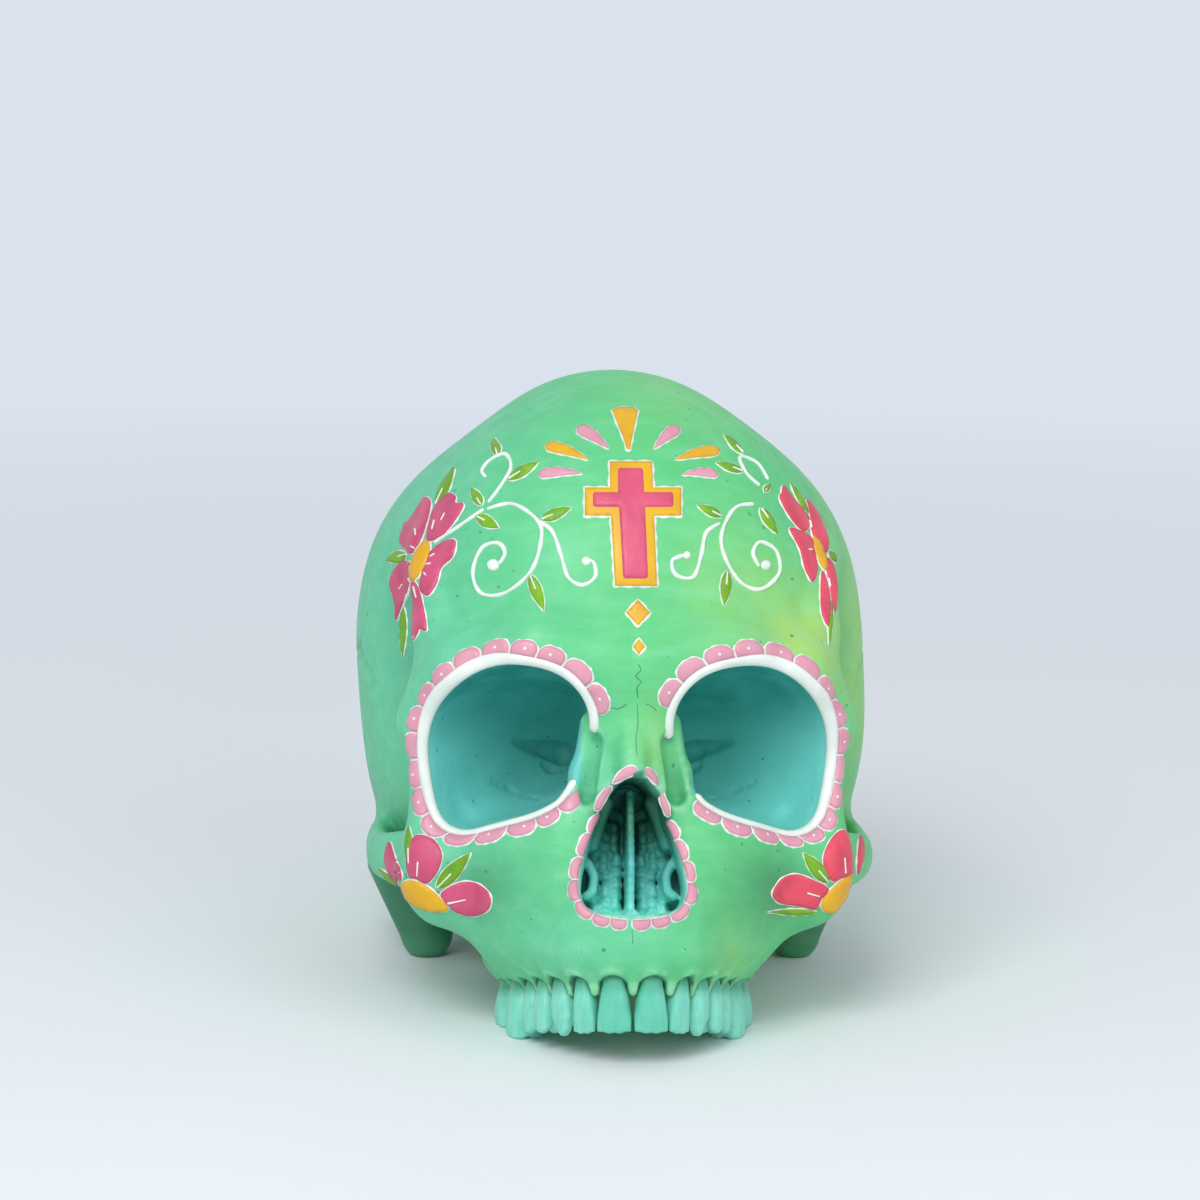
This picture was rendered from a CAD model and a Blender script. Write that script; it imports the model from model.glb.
# %% [markdown]
# # A painted sugar skull
# The object is a life-size cast of a skull without its lower jaw, painted mint and decorated by hand. The
# CAD part gives its bones, teeth and ornaments as separate solids in their true places. This lesson dresses
# them: the bone becomes one smooth skin, the teeth get crowns, and the ornament is laid on as thin raised
# paint. Lengths are millimetres while shaping, and metres once a piece becomes a Blender object.

# %% Load the frame
import bpy
import math
import numpy as np
from mathutils import Matrix, Vector
from mathutils.bvhtree import BVHTree
from mathutils.geometry import delaunay_2d_cdt


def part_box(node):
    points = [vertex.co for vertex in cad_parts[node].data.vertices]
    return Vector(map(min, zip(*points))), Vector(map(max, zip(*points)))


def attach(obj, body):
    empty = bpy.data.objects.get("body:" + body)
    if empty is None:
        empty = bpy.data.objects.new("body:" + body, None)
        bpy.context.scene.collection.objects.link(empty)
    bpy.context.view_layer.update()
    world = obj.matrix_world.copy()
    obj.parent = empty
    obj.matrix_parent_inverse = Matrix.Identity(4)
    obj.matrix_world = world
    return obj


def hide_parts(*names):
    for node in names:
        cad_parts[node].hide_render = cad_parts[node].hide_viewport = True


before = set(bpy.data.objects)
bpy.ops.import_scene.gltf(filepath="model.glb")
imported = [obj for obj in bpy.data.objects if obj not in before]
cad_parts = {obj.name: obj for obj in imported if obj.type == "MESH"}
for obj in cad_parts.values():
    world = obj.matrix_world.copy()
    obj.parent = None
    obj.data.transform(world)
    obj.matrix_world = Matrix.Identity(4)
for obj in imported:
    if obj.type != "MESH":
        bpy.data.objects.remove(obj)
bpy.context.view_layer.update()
METRE = 1000
scene = bpy.context.scene

# %% [markdown]
# ## Two frames
# A skull is easiest to shape in the ear-eye frame: level through the ear holes and the lower rims of the
# eye sockets, face toward -Y. On the table it tips back until its molars and mastoid tips touch. The tip
# could be typed in as an angle, but it is read from the part instead, so that it follows the CAD: the
# septum is a plain plate whose corners are known in the ear-eye frame, and its packed box tells both the
# pitch and the shift.

# %% Rest pose
SEPTUM_FRONT, SEPTUM_BACK, SEPTUM_FLOOR, SEPTUM_TOP = -76.3, -54.3, -20.6, 4.0
septum_low, septum_high = (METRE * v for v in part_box("vomer"))
long, tall = SEPTUM_BACK - SEPTUM_FRONT, SEPTUM_TOP - SEPTUM_FLOOR
wide_box, high_box = septum_high.y - septum_low.y, septum_high.z - septum_low.z
PITCH_COS = (long * wide_box - tall * high_box) / (long ** 2 - tall ** 2)
PITCH_SIN = (long * high_box - tall * wide_box) / (long ** 2 - tall ** 2)
REST_PITCH = math.atan2(PITCH_SIN, PITCH_COS)
SHIFT_Y = septum_low.y - (SEPTUM_FRONT * PITCH_COS + SEPTUM_FLOOR * PITCH_SIN)
SHIFT_Z = septum_low.z - (-SEPTUM_BACK * PITCH_SIN + SEPTUM_FLOOR * PITCH_COS)


def to_table(points):
    """Points of the ear-eye frame in millimetres, as points of the part's frame in metres."""
    p = np.asarray(points, float).reshape(-1, 3)
    y = p[:, 1] * PITCH_COS + p[:, 2] * PITCH_SIN + SHIFT_Y
    z = -p[:, 1] * PITCH_SIN + p[:, 2] * PITCH_COS + SHIFT_Z
    return np.stack([p[:, 0], y, np.maximum(z, 0)], 1) / METRE


print("pitch:", round(math.degrees(REST_PITCH), 2), "degrees, shift:", round(SHIFT_Y, 2), round(SHIFT_Z, 2))

# %% [markdown]
# ## Camera
# The photograph fits a long lens about 1.1 m away, a little to the skull's right. A camera can be matched
# by eye, but here it also places the ornament, so it is built from numbers: the focal length in pixels, the
# point it aims at and how far that point lies from the middle of the picture.

# %% Camera
PICTURE, FOCAL, SENSOR = 1200, 4477, 36
AIM, DISTANCE, YAW = (0, -92, -60), 1100, math.radians(3.2)
AIM_RIGHT, AIM_BELOW = 33, 476
pan, pitch = math.atan(AIM_RIGHT / FOCAL), math.atan(AIM_BELOW / FOCAL)
eye = Vector(AIM) - DISTANCE * Vector((math.sin(YAW), math.cos(YAW), 0))
forward = Vector((math.sin(YAW - pan), math.cos(YAW - pan), math.tan(pitch))).normalized()
view_turn = forward.to_track_quat("-Z", "Y").to_matrix()
tip = Matrix.Rotation(-REST_PITCH, 3, "X")

camera_data = bpy.data.cameras.new("camera")
camera_data.sensor_width = SENSOR
camera_data.lens = SENSOR * FOCAL / PICTURE
camera = bpy.data.objects.new("camera", camera_data)
scene.collection.objects.link(camera)
scene.camera = camera
camera.location = (tip @ eye + Vector((0, SHIFT_Y, SHIFT_Z))) / METRE
camera.rotation_mode = "QUATERNION"
camera.rotation_quaternion = (tip @ view_turn).to_quaternion()


def pixel_way(pixel):
    """The direction in which a pixel of the photograph looks, in the camera's own axes."""
    return Vector(((pixel[0] - PICTURE / 2) / FOCAL, (PICTURE / 2 - pixel[1]) / FOCAL, -1))


print("lens:", round(camera_data.lens, 1), "camera at:", [round(v, 3) for v in camera.location])

# %% [markdown]
# ## Tools for the form
# Bone has no edges: bars, knobs and plates flow into one another. It could be sculpted by hand or kept as
# many subdivided meshes, but those leave seams where they meet. Here each shape is a function that gives
# the distance to its surface, with the box it lives in, and a blend melts two shapes together by a set
# width.

# %% Shapes


def blended(a, b, blend):
    h = np.maximum(blend - np.abs(a - b), 0) / blend
    return np.minimum(a, b) - h * h * blend / 4


def smooth(a, b, v):
    t = np.clip((v - a) / (b - a), 0, 1)
    return t * t * (3 - 2 * t)


def bar(a, b, ra, rb=None, flatten=1.0):
    """Round bar between two points, its radius running from ra to rb."""
    rb = ra if rb is None else rb
    a, b = np.array(a, float), np.array(b, float)
    scale = np.array([1, 1, flatten])
    ab = (b - a) * scale

    def distance(x, y, z):
        px, py, pz = x - a[0], y - a[1], (z - a[2]) * flatten
        t = np.clip((px * ab[0] + py * ab[1] + pz * ab[2]) / (ab @ ab), 0, 1)
        d = np.sqrt((px - ab[0] * t) ** 2 + (py - ab[1] * t) ** 2 + (pz - ab[2] * t) ** 2)
        return d - (ra + (rb - ra) * t)

    size = max(ra, rb) / scale
    return np.minimum(a, b) - size, np.maximum(a, b) + size, distance


def egg(centre, radii):
    c, r = np.array(centre, float), np.array(radii, float)

    def distance(x, y, z):
        q = [(x - c[0]) / r[0], (y - c[1]) / r[1], (z - c[2]) / r[2]]
        k0 = np.sqrt(q[0] ** 2 + q[1] ** 2 + q[2] ** 2) + 1e-6
        k1 = np.sqrt((q[0] / r[0]) ** 2 + (q[1] / r[1]) ** 2 + (q[2] / r[2]) ** 2) + 1e-6
        return k0 * (k0 - 1) / k1

    return c - r, c + r, distance


print("shapes: bar and egg, melted by a blend")

# %% Runs and plates


def path(points, radii, flatten=1.0):
    """A run of bars through several points."""
    return [bar(a, b, ra, rb, flatten) for a, b, ra, rb in zip(points, points[1:], radii, radii[1:])]


def rounded(points, step=2.0, closed=True):
    """A smooth curve through the points, sampled about every step."""
    p = np.asarray(points, float)
    n = len(p)
    out = []
    for i in range(n if closed else n - 1):
        a, b, c, d = (p[k % n] if closed else p[min(max(k, 0), n - 1)] for k in range(i - 1, i + 3))
        count = max(int(np.ceil(np.linalg.norm(c - b) / step)), 1)
        for t in np.arange(count) / count:
            bend = (2 * a - 5 * b + 4 * c - d) * t ** 2 + (3 * b - a - 3 * c + d) * t ** 3
            out.append(0.5 * (2 * b + (c - a) * t + bend))
    if not closed:
        out.append(p[-1])
    return np.array(out)


def joined(pieces):
    """Several shapes as one, without a swelling where they meet."""
    lows, highs, distances = zip(*pieces)

    def distance(x, y, z):
        return np.minimum.reduce([d(x, y, z) for d in distances])

    return np.min(lows, 0), np.max(highs, 0), distance


def sheet(points, radius, front, back):
    """A thin curled plate: a bent line across the face, drawn out from front to back."""
    p = np.array(points, float)

    def distance(x, y, z):
        across = 1e3
        for (ax, az), (bx, bz) in zip(p, p[1:]):
            dx, dz = bx - ax, bz - az
            t = np.clip(((x - ax) * dx + (z - az) * dz) / (dx * dx + dz * dz), 0, 1)
            across = np.minimum(across, np.hypot(x - ax - t * dx, z - az - t * dz))
        return np.hypot(across, np.maximum(np.maximum(front - y, y - back), 0)) - radius

    low, high = p.min(0) - radius, p.max(0) + radius
    return np.array([low[0], front - radius, low[1]]), np.array([high[0], back + radius, high[1]]), distance


print("runs and plates: path, rounded, joined, sheet")

# %% [markdown]
# ## The grid
# The distances are sampled on a grid, and each shape touches only the samples inside its own box, which
# keeps the script quick. A skull is nearly the same left and right, so the grid covers its left half and is
# mirrored at the end. It is finer at the face than at the back of the head.

# %% Grid


def spaced(*runs):
    return np.concatenate([np.arange(a, b, step) for a, b, step in runs]).astype(np.float32)


class Grid:
    """Distances to the surface, below zero inside the bone."""

    MARGIN = 5

    def __init__(self, xs, ys, zs):
        self.axes = (xs, ys, zs)
        self.value = None

    def window(self, low, high):
        ends = zip(self.axes, low, high)
        at = tuple(slice(np.searchsorted(s, a), np.searchsorted(s, b)) for s, a, b in ends)
        x, y, z = (s[cut] for s, cut in zip(self.axes, at))
        return at, (x[:, None, None], y[None, :, None], z[None, None, :])

    def add(self, shape, blend, sign=1):
        low, high, distance = shape
        at, place = self.window(low - blend - self.MARGIN, high + blend + self.MARGIN)
        self.value[at] = sign * blended(sign * self.value[at], distance(*place), blend)

    def carve(self, shape, blend):
        self.add(shape, blend, -1)


FINE, MIDDLING, COARSE = (step * 1 for step in (0.7, 1.2, 1.4))
grid = Grid(
    spaced((0, 70, FINE)),
    spaced((-104, -56, FINE), (-56, 96, COARSE)),
    spaced((-44, 46, FINE), (46, 132, MIDDLING)),
)
print("grid:", [len(s) for s in grid.axes], "samples")

# %% [markdown]
# ## Braincase
# The braincase is a thin-walled egg, fuller behind than in front and sunk at the temples. A plain ellipsoid
# looks like a balloon, so each half has its own length and the base its own squareness. The hollow inside
# is the same form drawn in by the wall, with a floor that steps up behind the eye sockets.

# %% Braincase
CENTRE_Y, CENTRE_Z = 4, 52
HALF_WIDTH, FRONT, REAR, UP, DOWN = 67.4, 92, 84, 74.5, 70
VAULT_ROUND, BASE_ROUND, LENGTH_ROUND = 2.0, 3.0, 2.4
WALL, BRAIN_FLOOR, FLOOR_STEP = 6, -2, 50
DENTS = (
    ("lower temple", (66, -44, 8), (26, 22, 34), 8),
    ("upper temple", (62, -44, 44), (18, 14, 26), 12),
    ("slope beside the crown", (38, 4, 112), (20, 60, 18), 3.2),
    ("swelling at the side", (60, 8, 82), (20, 36, 18), -1.2),
)
CROWN, CROWN_REACH, CROWN_RISE, CROWN_BOX = (0, 6, 126), (26, 60, 14), 0.8, 2.6
SKULL_BASE = ((egg((0, 2, -10), (40, 44, 14)), 12), (egg((0, -25, -8), (16, 24, 16)), 8))
EVERYWHERE = (np.array([-1.0, -200, -200]), np.array([200.0, 200, 200]))


def soft_patch(x, y, z, centre, reach):
    c, r = centre, reach
    return np.exp(-(((x - c[0]) / r[0]) ** 2 + ((y - c[1]) / r[1]) ** 2 + ((z - c[2]) / r[2]) ** 2))


def braincase(x, y, z):
    v, w = y - CENTRE_Y, z - CENTRE_Z
    n = np.where(w > 0, VAULT_ROUND, BASE_ROUND)
    ring = ((x / HALF_WIDTH) ** n + np.abs(w / np.where(w > 0, UP, DOWN)) ** n + 1e-12) ** (1 / n)
    ends = np.abs(v / np.where(v < 0, FRONT, REAR)) ** LENGTH_ROUND
    g = (ring ** LENGTH_ROUND + ends + 1e-12) ** (1 / LENGTH_ROUND)
    vault = np.sqrt(x * x + v * v + w * w) * (1 - 1 / g)
    for _, centre, reach, depth in DENTS:
        vault = vault + depth * soft_patch(x, y, z, centre, reach)
    return vault


def brain(x, y, z):
    floor = BRAIN_FLOOR + FLOOR_STEP * smooth(-22, -40, y)
    return np.maximum(braincase(x, y, z) + WALL, floor - z)


everywhere = grid.window(*EVERYWHERE)[1]
grid.value = braincase(*everywhere).astype(np.float32)
at, place = grid.window(*(np.array(CROWN) + k * CROWN_BOX * np.array(CROWN_REACH) for k in (-1, 1)))
grid.value[at] -= CROWN_RISE * soft_patch(*place, CROWN, CROWN_REACH)
for shape, blend in SKULL_BASE:
    grid.add(shape, blend)
print("braincase: deepest sample", round(float(grid.value.min()), 1))

# %% [markdown]
# ## Face
# Brow, cheekbone, nose bridge and upper jaw are struts that carry the bite up to the braincase. Each strut
# is a bar or an egg here, named for the bone it stands for and given with the width of its blend. The jaw
# follows the dental arch, whose depth grows with a power of the distance from the middle.

# %% Dental arch and cheek arch
ARCH_FRONT, ARCH_BOW, ARCH_CURL = -89.5, 0.0075, 2.6
RIDGE_MIDDLE, RIDGE_TALL, RIDGE_BACK, RIDGE_HALF, RIDGE_TAPER = -25, 7, -46, 6.6, 2
CHEEK_ARCH = ((52, -57, -6), (60.5, -42, -4), (62.5, -24, -1), (61, -8, 3), (57, 8, 7))
CHEEK_ARCH_RADII, CHEEK_ARCH_FLAT = (4.8, 3.5, 3.2, 3.5, 4.8), 0.58


def arch_y(x):
    return ARCH_FRONT + ARCH_BOW * x ** ARCH_CURL


def arch_slope(x):
    return ARCH_CURL * ARCH_BOW * x ** (ARCH_CURL - 1)


def arch_outward(x):
    slope = arch_slope(x)
    return np.array([slope, -1, 0]) / math.hypot(1, slope)


def tooth_ridge(x, y, z):
    across = (y - arch_y(x)) / np.hypot(1, arch_slope(x))
    tall = np.maximum(np.abs(z - RIDGE_MIDDLE) - RIDGE_TALL, 0)
    half = RIDGE_HALF - RIDGE_TAPER * smooth(-29, -37, z)
    return np.sqrt(across ** 2 + tall ** 2 + np.maximum(y - RIDGE_BACK, 0) ** 2) - half


def cheek_arch():
    line = rounded(CHEEK_ARCH, 4, False)
    radii = np.interp(line[:, 1], [y for _, y, _ in CHEEK_ARCH], CHEEK_ARCH_RADII)
    return joined(path(line, radii, CHEEK_ARCH_FLAT))


print("dental arch: depth at 20 mm from the middle", round(arch_y(20), 1))

# %% Face
RIM_UPPER, TEMPLE_LOW, TEMPLE_HIGH = (50.5, -63.5, 29), (47.5, -65, 52), (51.5, -53, 74)
BROW_OUTER, BROW_MIDDLE, BROW_INNER = (41, -74.5, 41), (23, -82.5, 45), (5, -84.5, 40)
TEMPORAL_LINE = path([RIM_UPPER, TEMPLE_LOW, TEMPLE_HIGH], [4.6, 4, 3])
BROW_RIDGE = path([RIM_UPPER, BROW_OUTER, BROW_MIDDLE, BROW_INNER], [4.4, 5.4, 5.8, 6])
FACE = (
    *(("temporal line", piece, 8) for piece in TEMPORAL_LINE),
    *(("brow ridge", piece, 12) for piece in BROW_RIDGE),
    ("middle of the brow", egg((0, -80, 39), (15, 9, 12)), 9),
    ("outer socket wall", bar((47, -60, 16), (34, -42, 16), 5, 6, 0.3), 5),
    ("nasal bridge", bar((0, -80, 33), (0, -92, 12), 7, 2.8), 4),
    ("side of the bridge", bar((4.4, -81, 30), (5.2, -86, 11), 3.6, 3), 4),
    ("jaw beside the nose", bar((8, -80, 30), (15.5, -82, -6), 5, 4.6), 6),
    ("body of the jaw", egg((20, -62, -10), (20, 23.5, 25)), 8),
    ("tooth ridge", (np.array([-1.0, -98, -42]), np.array([46.0, -36, -8]), tooth_ridge), 7),
    ("palate", egg((0, -62, -19), (22, 26, 9)), 6),
    ("lower socket rim", bar((46.5, -64, -7), (17, -80, -0.5), 6.4, 4.6), 6),
    ("cheekbone", egg((46.5, -61, -8), (10.5, 9.5, 13)), 6),
    ("outer socket rim", bar((49.5, -63, -4), RIM_UPPER, 5.2, 4.2), 5),
    ("cheek to jaw", bar((44, -60, -15), (24.5, -62, -25), 6, 7), 8),
    ("cheek arch", cheek_arch(), 4),
    ("mastoid", bar((53, 20, -2), (49.5, 16, -21.9), 12.5, 7), 7),
    ("pterygoid plate", bar((14, -40, -6), (17, -42, -30), 6.5, 4.6), 5),
)
for name, shape, blend in FACE:
    grid.add(shape, blend)
ROOF_OF_MOUTH = egg((0, -58, -40), (17, 27, 13))
grid.carve(ROOF_OF_MOUTH, 5)
print("face:", len(FACE), "struts, share of samples inside", round(float((grid.value < 0).mean()), 3))

# %% [markdown]
# ## Tooth places
# Seven teeth stand side by side on each half of the arch. In a cast the gum line reads by its shadows: the
# jaw swells over each root, dips round each neck and rises to a point between two teeth. A bump map can't
# break that edge in profile, so the swellings, wells and points are cut into the form itself.

# %% Tooth places
GUM = -37.6
TOOTH_SIZES = (
    ("central_incisor", 8.8, 7.2, -49.6, "blade"), ("lateral_incisor", 6.8, 6.6, -49.6, "blade"),
    ("canine", 7.6, 8.0, -50.2, "point"), ("first_premolar", 7.0, 9.0, -49.6, "pair"),
    ("second_premolar", 6.8, 9.0, -49.6, "pair"), ("first_molar", 10.2, 11.0, -51.2, "four"),
    ("second_molar", 9.6, 10.8, -48.2, "four"),
)
ARCH_REACH, ARCH_SAMPLES, ARCH_STEP = 34, 3401, 0.01
arch_x = np.linspace(0, ARCH_REACH, ARCH_SAMPLES)
arch_walk = np.concatenate([[0], np.cumsum(np.hypot(1, arch_slope(arch_x[1:])) * ARCH_STEP)])
TEETH, walked = [], 0
for name, width, depth, edge, shape in TOOTH_SIZES:
    TEETH.append((name, float(np.interp(walked + width / 2, arch_walk, arch_x)), width, depth, edge, shape))
    walked += width
print("arch places:", [(name, round(x, 1)) for name, x, *_ in TEETH])

# %% Gum line
SQUIRCLE = 2.7


def neck(x0, width, depth):
    """An upright oval well round the neck of a tooth, open outward."""
    half_width, half_depth = 0.36 * width + 0.5, 0.44 * depth + 0.8
    slope = arch_slope(x0)
    size = math.hypot(1, slope)

    def distance(x, y, z):
        u = ((x - x0) + (y - arch_y(x0)) * slope) / size
        v = ((x - x0) * slope - (y - arch_y(x0))) / size
        v = np.where(v > 0, 0.3 * v, v)
        corner = np.abs(u / half_width) ** SQUIRCLE + np.abs(v / half_depth) ** SQUIRCLE
        round_off = (corner + 1e-9) ** (1 / SQUIRCLE)
        top = GUM + 0.4 + 1.7 * np.maximum(1 - (u / half_width) ** 2, 0)
        return np.maximum((round_off - 1) * min(half_width, half_depth), (z - top) * 0.8)

    middle = np.array([x0, arch_y(x0), GUM - 3])
    return middle - 8, middle + 8, distance


def root_swelling(x, width, shape):
    outward = arch_outward(x)
    foot = np.array([x, arch_y(x), 0]) + outward * (7.3 - 0.34 * width)
    low, high = foot - outward * 1.5 + (0, 0, GUM + 3.4), foot - outward * 1.6 + (0, 0, -22)
    strength = 0.8 if shape in ("pair", "four") else 1.0
    return bar(low, high, 0.34 * width * strength, 0.2 * width)


def gum_point(walk):
    x = float(np.interp(walk, arch_walk, arch_x))
    foot = np.array([x, arch_y(x), 0]) + arch_outward(x) * 1.4
    return bar(foot + (0, 0, GUM + 2.5), foot + (0, 0, GUM - 1.8), 2.7, 1.2)


for name, x, width, depth, edge, shape in TEETH:
    grid.add(root_swelling(x, width, shape), 3.5)
for name, x, width, depth, edge, shape in TEETH:
    grid.carve(neck(x, width, depth), 0.7)
for walk in np.cumsum([0] + [row[1] for row in TOOTH_SIZES[:-1]]):
    grid.add(gum_point(walk), 1.5)
print("gum line: wells", len(TEETH), "share inside", round(float((grid.value < 0).mean()), 3))

# %% [markdown]
# ## Hollows
# An eye socket is a cone that runs back and inward. Its mouth is a rounded square that slants down toward
# the temple. The nose opening is pear shaped. Boolean cuts on a mesh would leave sharp rims; cutting the
# distances with a small blend rounds each rim as a cast has it.

# %% Eye sockets and nose
MOUTH, APEX = np.array([31.5, -80.0, 21.7]), np.array([12.0, -36.0, 23.0])
SOCKET_WIDE, SOCKET_HIGH, SOCKET_SLANT = 21.5, 18.5, 0.2
NOSE_TOP, NOSE_FLOOR, NOSE_BACK, NOSE_HALF = 12.9, -20.9, -54, 14.4
SOCKET_LENGTH = np.linalg.norm(APEX - MOUTH)
SOCKET_AXIS = (APEX - MOUTH) / SOCKET_LENGTH
SOCKET_INWARD = np.array([-SOCKET_AXIS[1], SOCKET_AXIS[0], 0]) / np.hypot(SOCKET_AXIS[0], SOCKET_AXIS[1])
SOCKET_UPWARD = np.cross(SOCKET_AXIS, SOCKET_INWARD)
SOCKET_UPWARD = SOCKET_UPWARD * np.sign(SOCKET_UPWARD[2])
SOCKET_AXES = (SOCKET_AXIS, SOCKET_INWARD, SOCKET_UPWARD)


def socket_round(u, v):
    """How far out a place lies, 1 on the socket's outline, which slants down to its squarest corner."""
    u, v = u / SOCKET_WIDE, (v - SOCKET_SLANT * u) / SOCKET_HIGH
    corner = 2 * np.maximum(-u, 0) * np.maximum(-v, 0) / (u ** 2 + v ** 2 + 1e-9)
    power = 2.2 + 1.3 * corner
    return (np.abs(u) ** power + np.abs(v) ** power + 1e-9) ** (1 / power)


def socket_share(t):
    """The socket's breadth at a depth, as a share of its mouth, closing to a rounded end."""
    end = np.clip((t - 0.7) / 0.3, 0, 0.97)
    return (1.03 - 0.8 * np.clip(t, 0, 1) ** 1.35) * np.sqrt(1 - end ** 2)


def socket(x, y, z):
    """Distance to the socket's wall, and how deep a place is from mouth (0) to apex (1)."""
    q = (x - MOUTH[0], y - MOUTH[1], z - MOUTH[2])
    depth, u, v = (sum(a * b for a, b in zip(q, axis)) for axis in SOCKET_AXES)
    t = depth / SOCKET_LENGTH
    share = socket_share(t)
    g = socket_round(u / share, v / share)
    return np.maximum((g - 1) * SOCKET_HIGH * share, (t - 1) * SOCKET_LENGTH), t


def nose_half(z):
    t = np.clip((NOSE_TOP - z) / (NOSE_TOP - NOSE_FLOOR), 0.001, 0.999)
    return NOSE_HALF * t ** 0.48 * (1 - t ** 12) ** (1 / 3)


def nose(x, y, z):
    side = np.maximum((x - nose_half(z)) * 0.8, np.maximum(NOSE_FLOOR - z, z - NOSE_TOP))
    return np.maximum(side, y - NOSE_BACK)


print("socket:", round(float(SOCKET_LENGTH), 1), "deep, nose:", round(NOSE_TOP - NOSE_FLOOR, 1), "high")

# %% Cutting the hollows
EAR_HOLE = bar((86, 2, -7.2), (44.4, -1, -7.2), 4.2)
SPINAL_HOLE = bar((0, 20, -60), (0, 20, 20), 15)
TEAR_GROOVE = bar((9.8, -86, 22), (11.2, -85, 9), 2.4, 2.2)
INNER_LEDGE = path([(10.2, -81, 27), (11.6, -80.5, 15), (12.2, -79.5, 3)], [2.4, 2.9, 2.6])

solid_form = grid.value.copy()
grid.carve((np.array([-1.0, -120, -10]), np.array([66.0, -30, 52]), lambda x, y, z: socket(x, y, z)[0]), 3)
grid.carve((np.array([-1.0, -120, -26]), np.array([24.0, -48, 18]), nose), 1.6)
grid.carve(EAR_HOLE, 3)
grid.value = np.maximum(grid.value, -brain(*everywhere)).astype(np.float32)
grid.carve(SPINAL_HOLE, 2)
for piece in INNER_LEDGE:
    grid.add(piece, 3.5)
grid.carve(TEAR_GROOVE, 2)
print("hollows: share of samples cut away", round(float(((solid_form < 0) & (grid.value > 0)).mean()), 3))

# %% [markdown]
# ## Inside the nose
# Behind the pear-shaped opening stand a thin septum, curled plates at the sides and the lumpy cells of the
# ethmoid. They are seen only in shadow, so a few plates and three columns of small eggs are enough. The
# eggs are set by a golden-ratio step, which looks uneven and is the same each time.

# %% Inside the nose
BACKING = (egg((5, -61, -8), (8, 7, 15)), egg((11.5, -63, -12), (4, 8, 9)))
LOWER_CONCHA = sheet([(13, -6), (10.3, -7.6), (8.9, -10.8), (9.4, -14.4), (10.9, -15.6)], 1.1, -79, -66)
MIDDLE_CONCHA = sheet([(5.2, 8), (7.2, 3.4), (9.2, -3)], 1.5, -75.5, -64)
NASAL_CREST = bar((0, -90, -20.5), (0, -56, -20), 1.3)
CELLS, CELL_COLUMNS = 30, 3
SEPTUM_ROWS, SEPTUM_HALF = np.arange(-20, 12, 2.0), 1.05

for shape in BACKING:
    grid.add(shape, 2)
for n in range(CELLS):
    a, b = (n * 0.618) % 1, (n * 0.383 + 0.2) % 1
    row, column = divmod(n, CELL_COLUMNS)
    x = 3.3 + 2.7 * column + 0.8 * (a - 0.5)
    y = -72.5 + 0.7 * row + 0.6 * column + b
    z = -20.4 + 2.5 * row + 1.2 * (b - 0.5)
    grid.add(egg((x, y, z), (1.4 + 0.7 * b, 5.5, 1.4 + 0.6 * a)), 0.7)
grid.add(LOWER_CONCHA, 1)
grid.add(MIDDLE_CONCHA, 1.2)
grid.add(NASAL_CREST, 2)
for z in SEPTUM_ROWS:
    grid.add(bar((0, -84 + 0.25 * abs(z + 8), z), (0, -55, z), SEPTUM_HALF), 1)
print("nose: cells", CELLS, "rows of the septum", len(SEPTUM_ROWS))

# %% [markdown]
# ## Fissures
# The back wall of a socket has slits for nerves and vessels, and there is a small pit under it. Their
# places are read off the photograph: a ray goes out from the camera through each pixel until it meets the
# bone, and a groove is cut there. Both sides get the same grooves, because the grid is mirrored.

# %% Fissures
FISSURES = (
    (((513, 741), (530, 746), (547, 750), (562, 754)), (0.6, 1.5, 2.4, 3.0)),
    (((540, 764), (552, 770), (563, 768)), (0.5, 1.0, 1.3)),
    (((560, 805), (535, 797), (510, 789), (490, 780)), (0.7, 0.6, 0.5, 0.3)),
    (((504, 858), (512, 853), (521, 849), (531, 845)), (0.3, 0.8, 0.7, 0.3)),
)


def sample(value, points):
    """A grid's value at any points, between its samples."""
    p = np.asarray(points, float).copy()
    p[:, 0] = np.abs(p[:, 0])
    place = [np.interp(p[:, i], s, np.arange(len(s))) for i, s in enumerate(grid.axes)]
    base = [np.minimum(v.astype(int), len(s) - 2) for v, s in zip(place, grid.axes)]
    out = 0
    for corner in range(8):
        bits = [(corner >> i) & 1 for i in range(3)]
        weight = 1
        for v, b, bit in zip(place, base, bits):
            weight = weight * ((v - b) if bit else (1 - (v - b)))
        out = out + weight * value[base[0] + bits[0], base[1] + bits[1], base[2] + bits[2]]
    return out


def seen(pixel):
    """The wall point that a pixel looks at, in millimetres, by small steps along its ray."""
    way = np.array((view_turn @ pixel_way(pixel)).normalized())
    steps = np.arange(DISTANCE - 40, DISTANCE + 90, 0.25)
    line = np.array(eye) + np.outer(steps, way)
    first = int(np.argmax(sample(grid.value, line) < 0))
    return line[first] + 0.6 * way


for pixels, radii in FISSURES:
    spots = [np.abs(seen(p)) * (1, -1, 1) for p in pixels]
    for piece in path(spots, radii):
        grid.carve(piece, 0.8)
print("fissures:", len(FISSURES))

# %% [markdown]
# ## Skin
# Now the distances become a mesh. Blender's remesh modifier could do it, but surface nets are short to
# write and give even quads: one point in each cell that the surface passes through, and one quad across
# each grid edge that it cuts. The vault of this skull leans a little to its right, so the finished skin is
# shifted there.

# %% Surface nets


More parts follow.
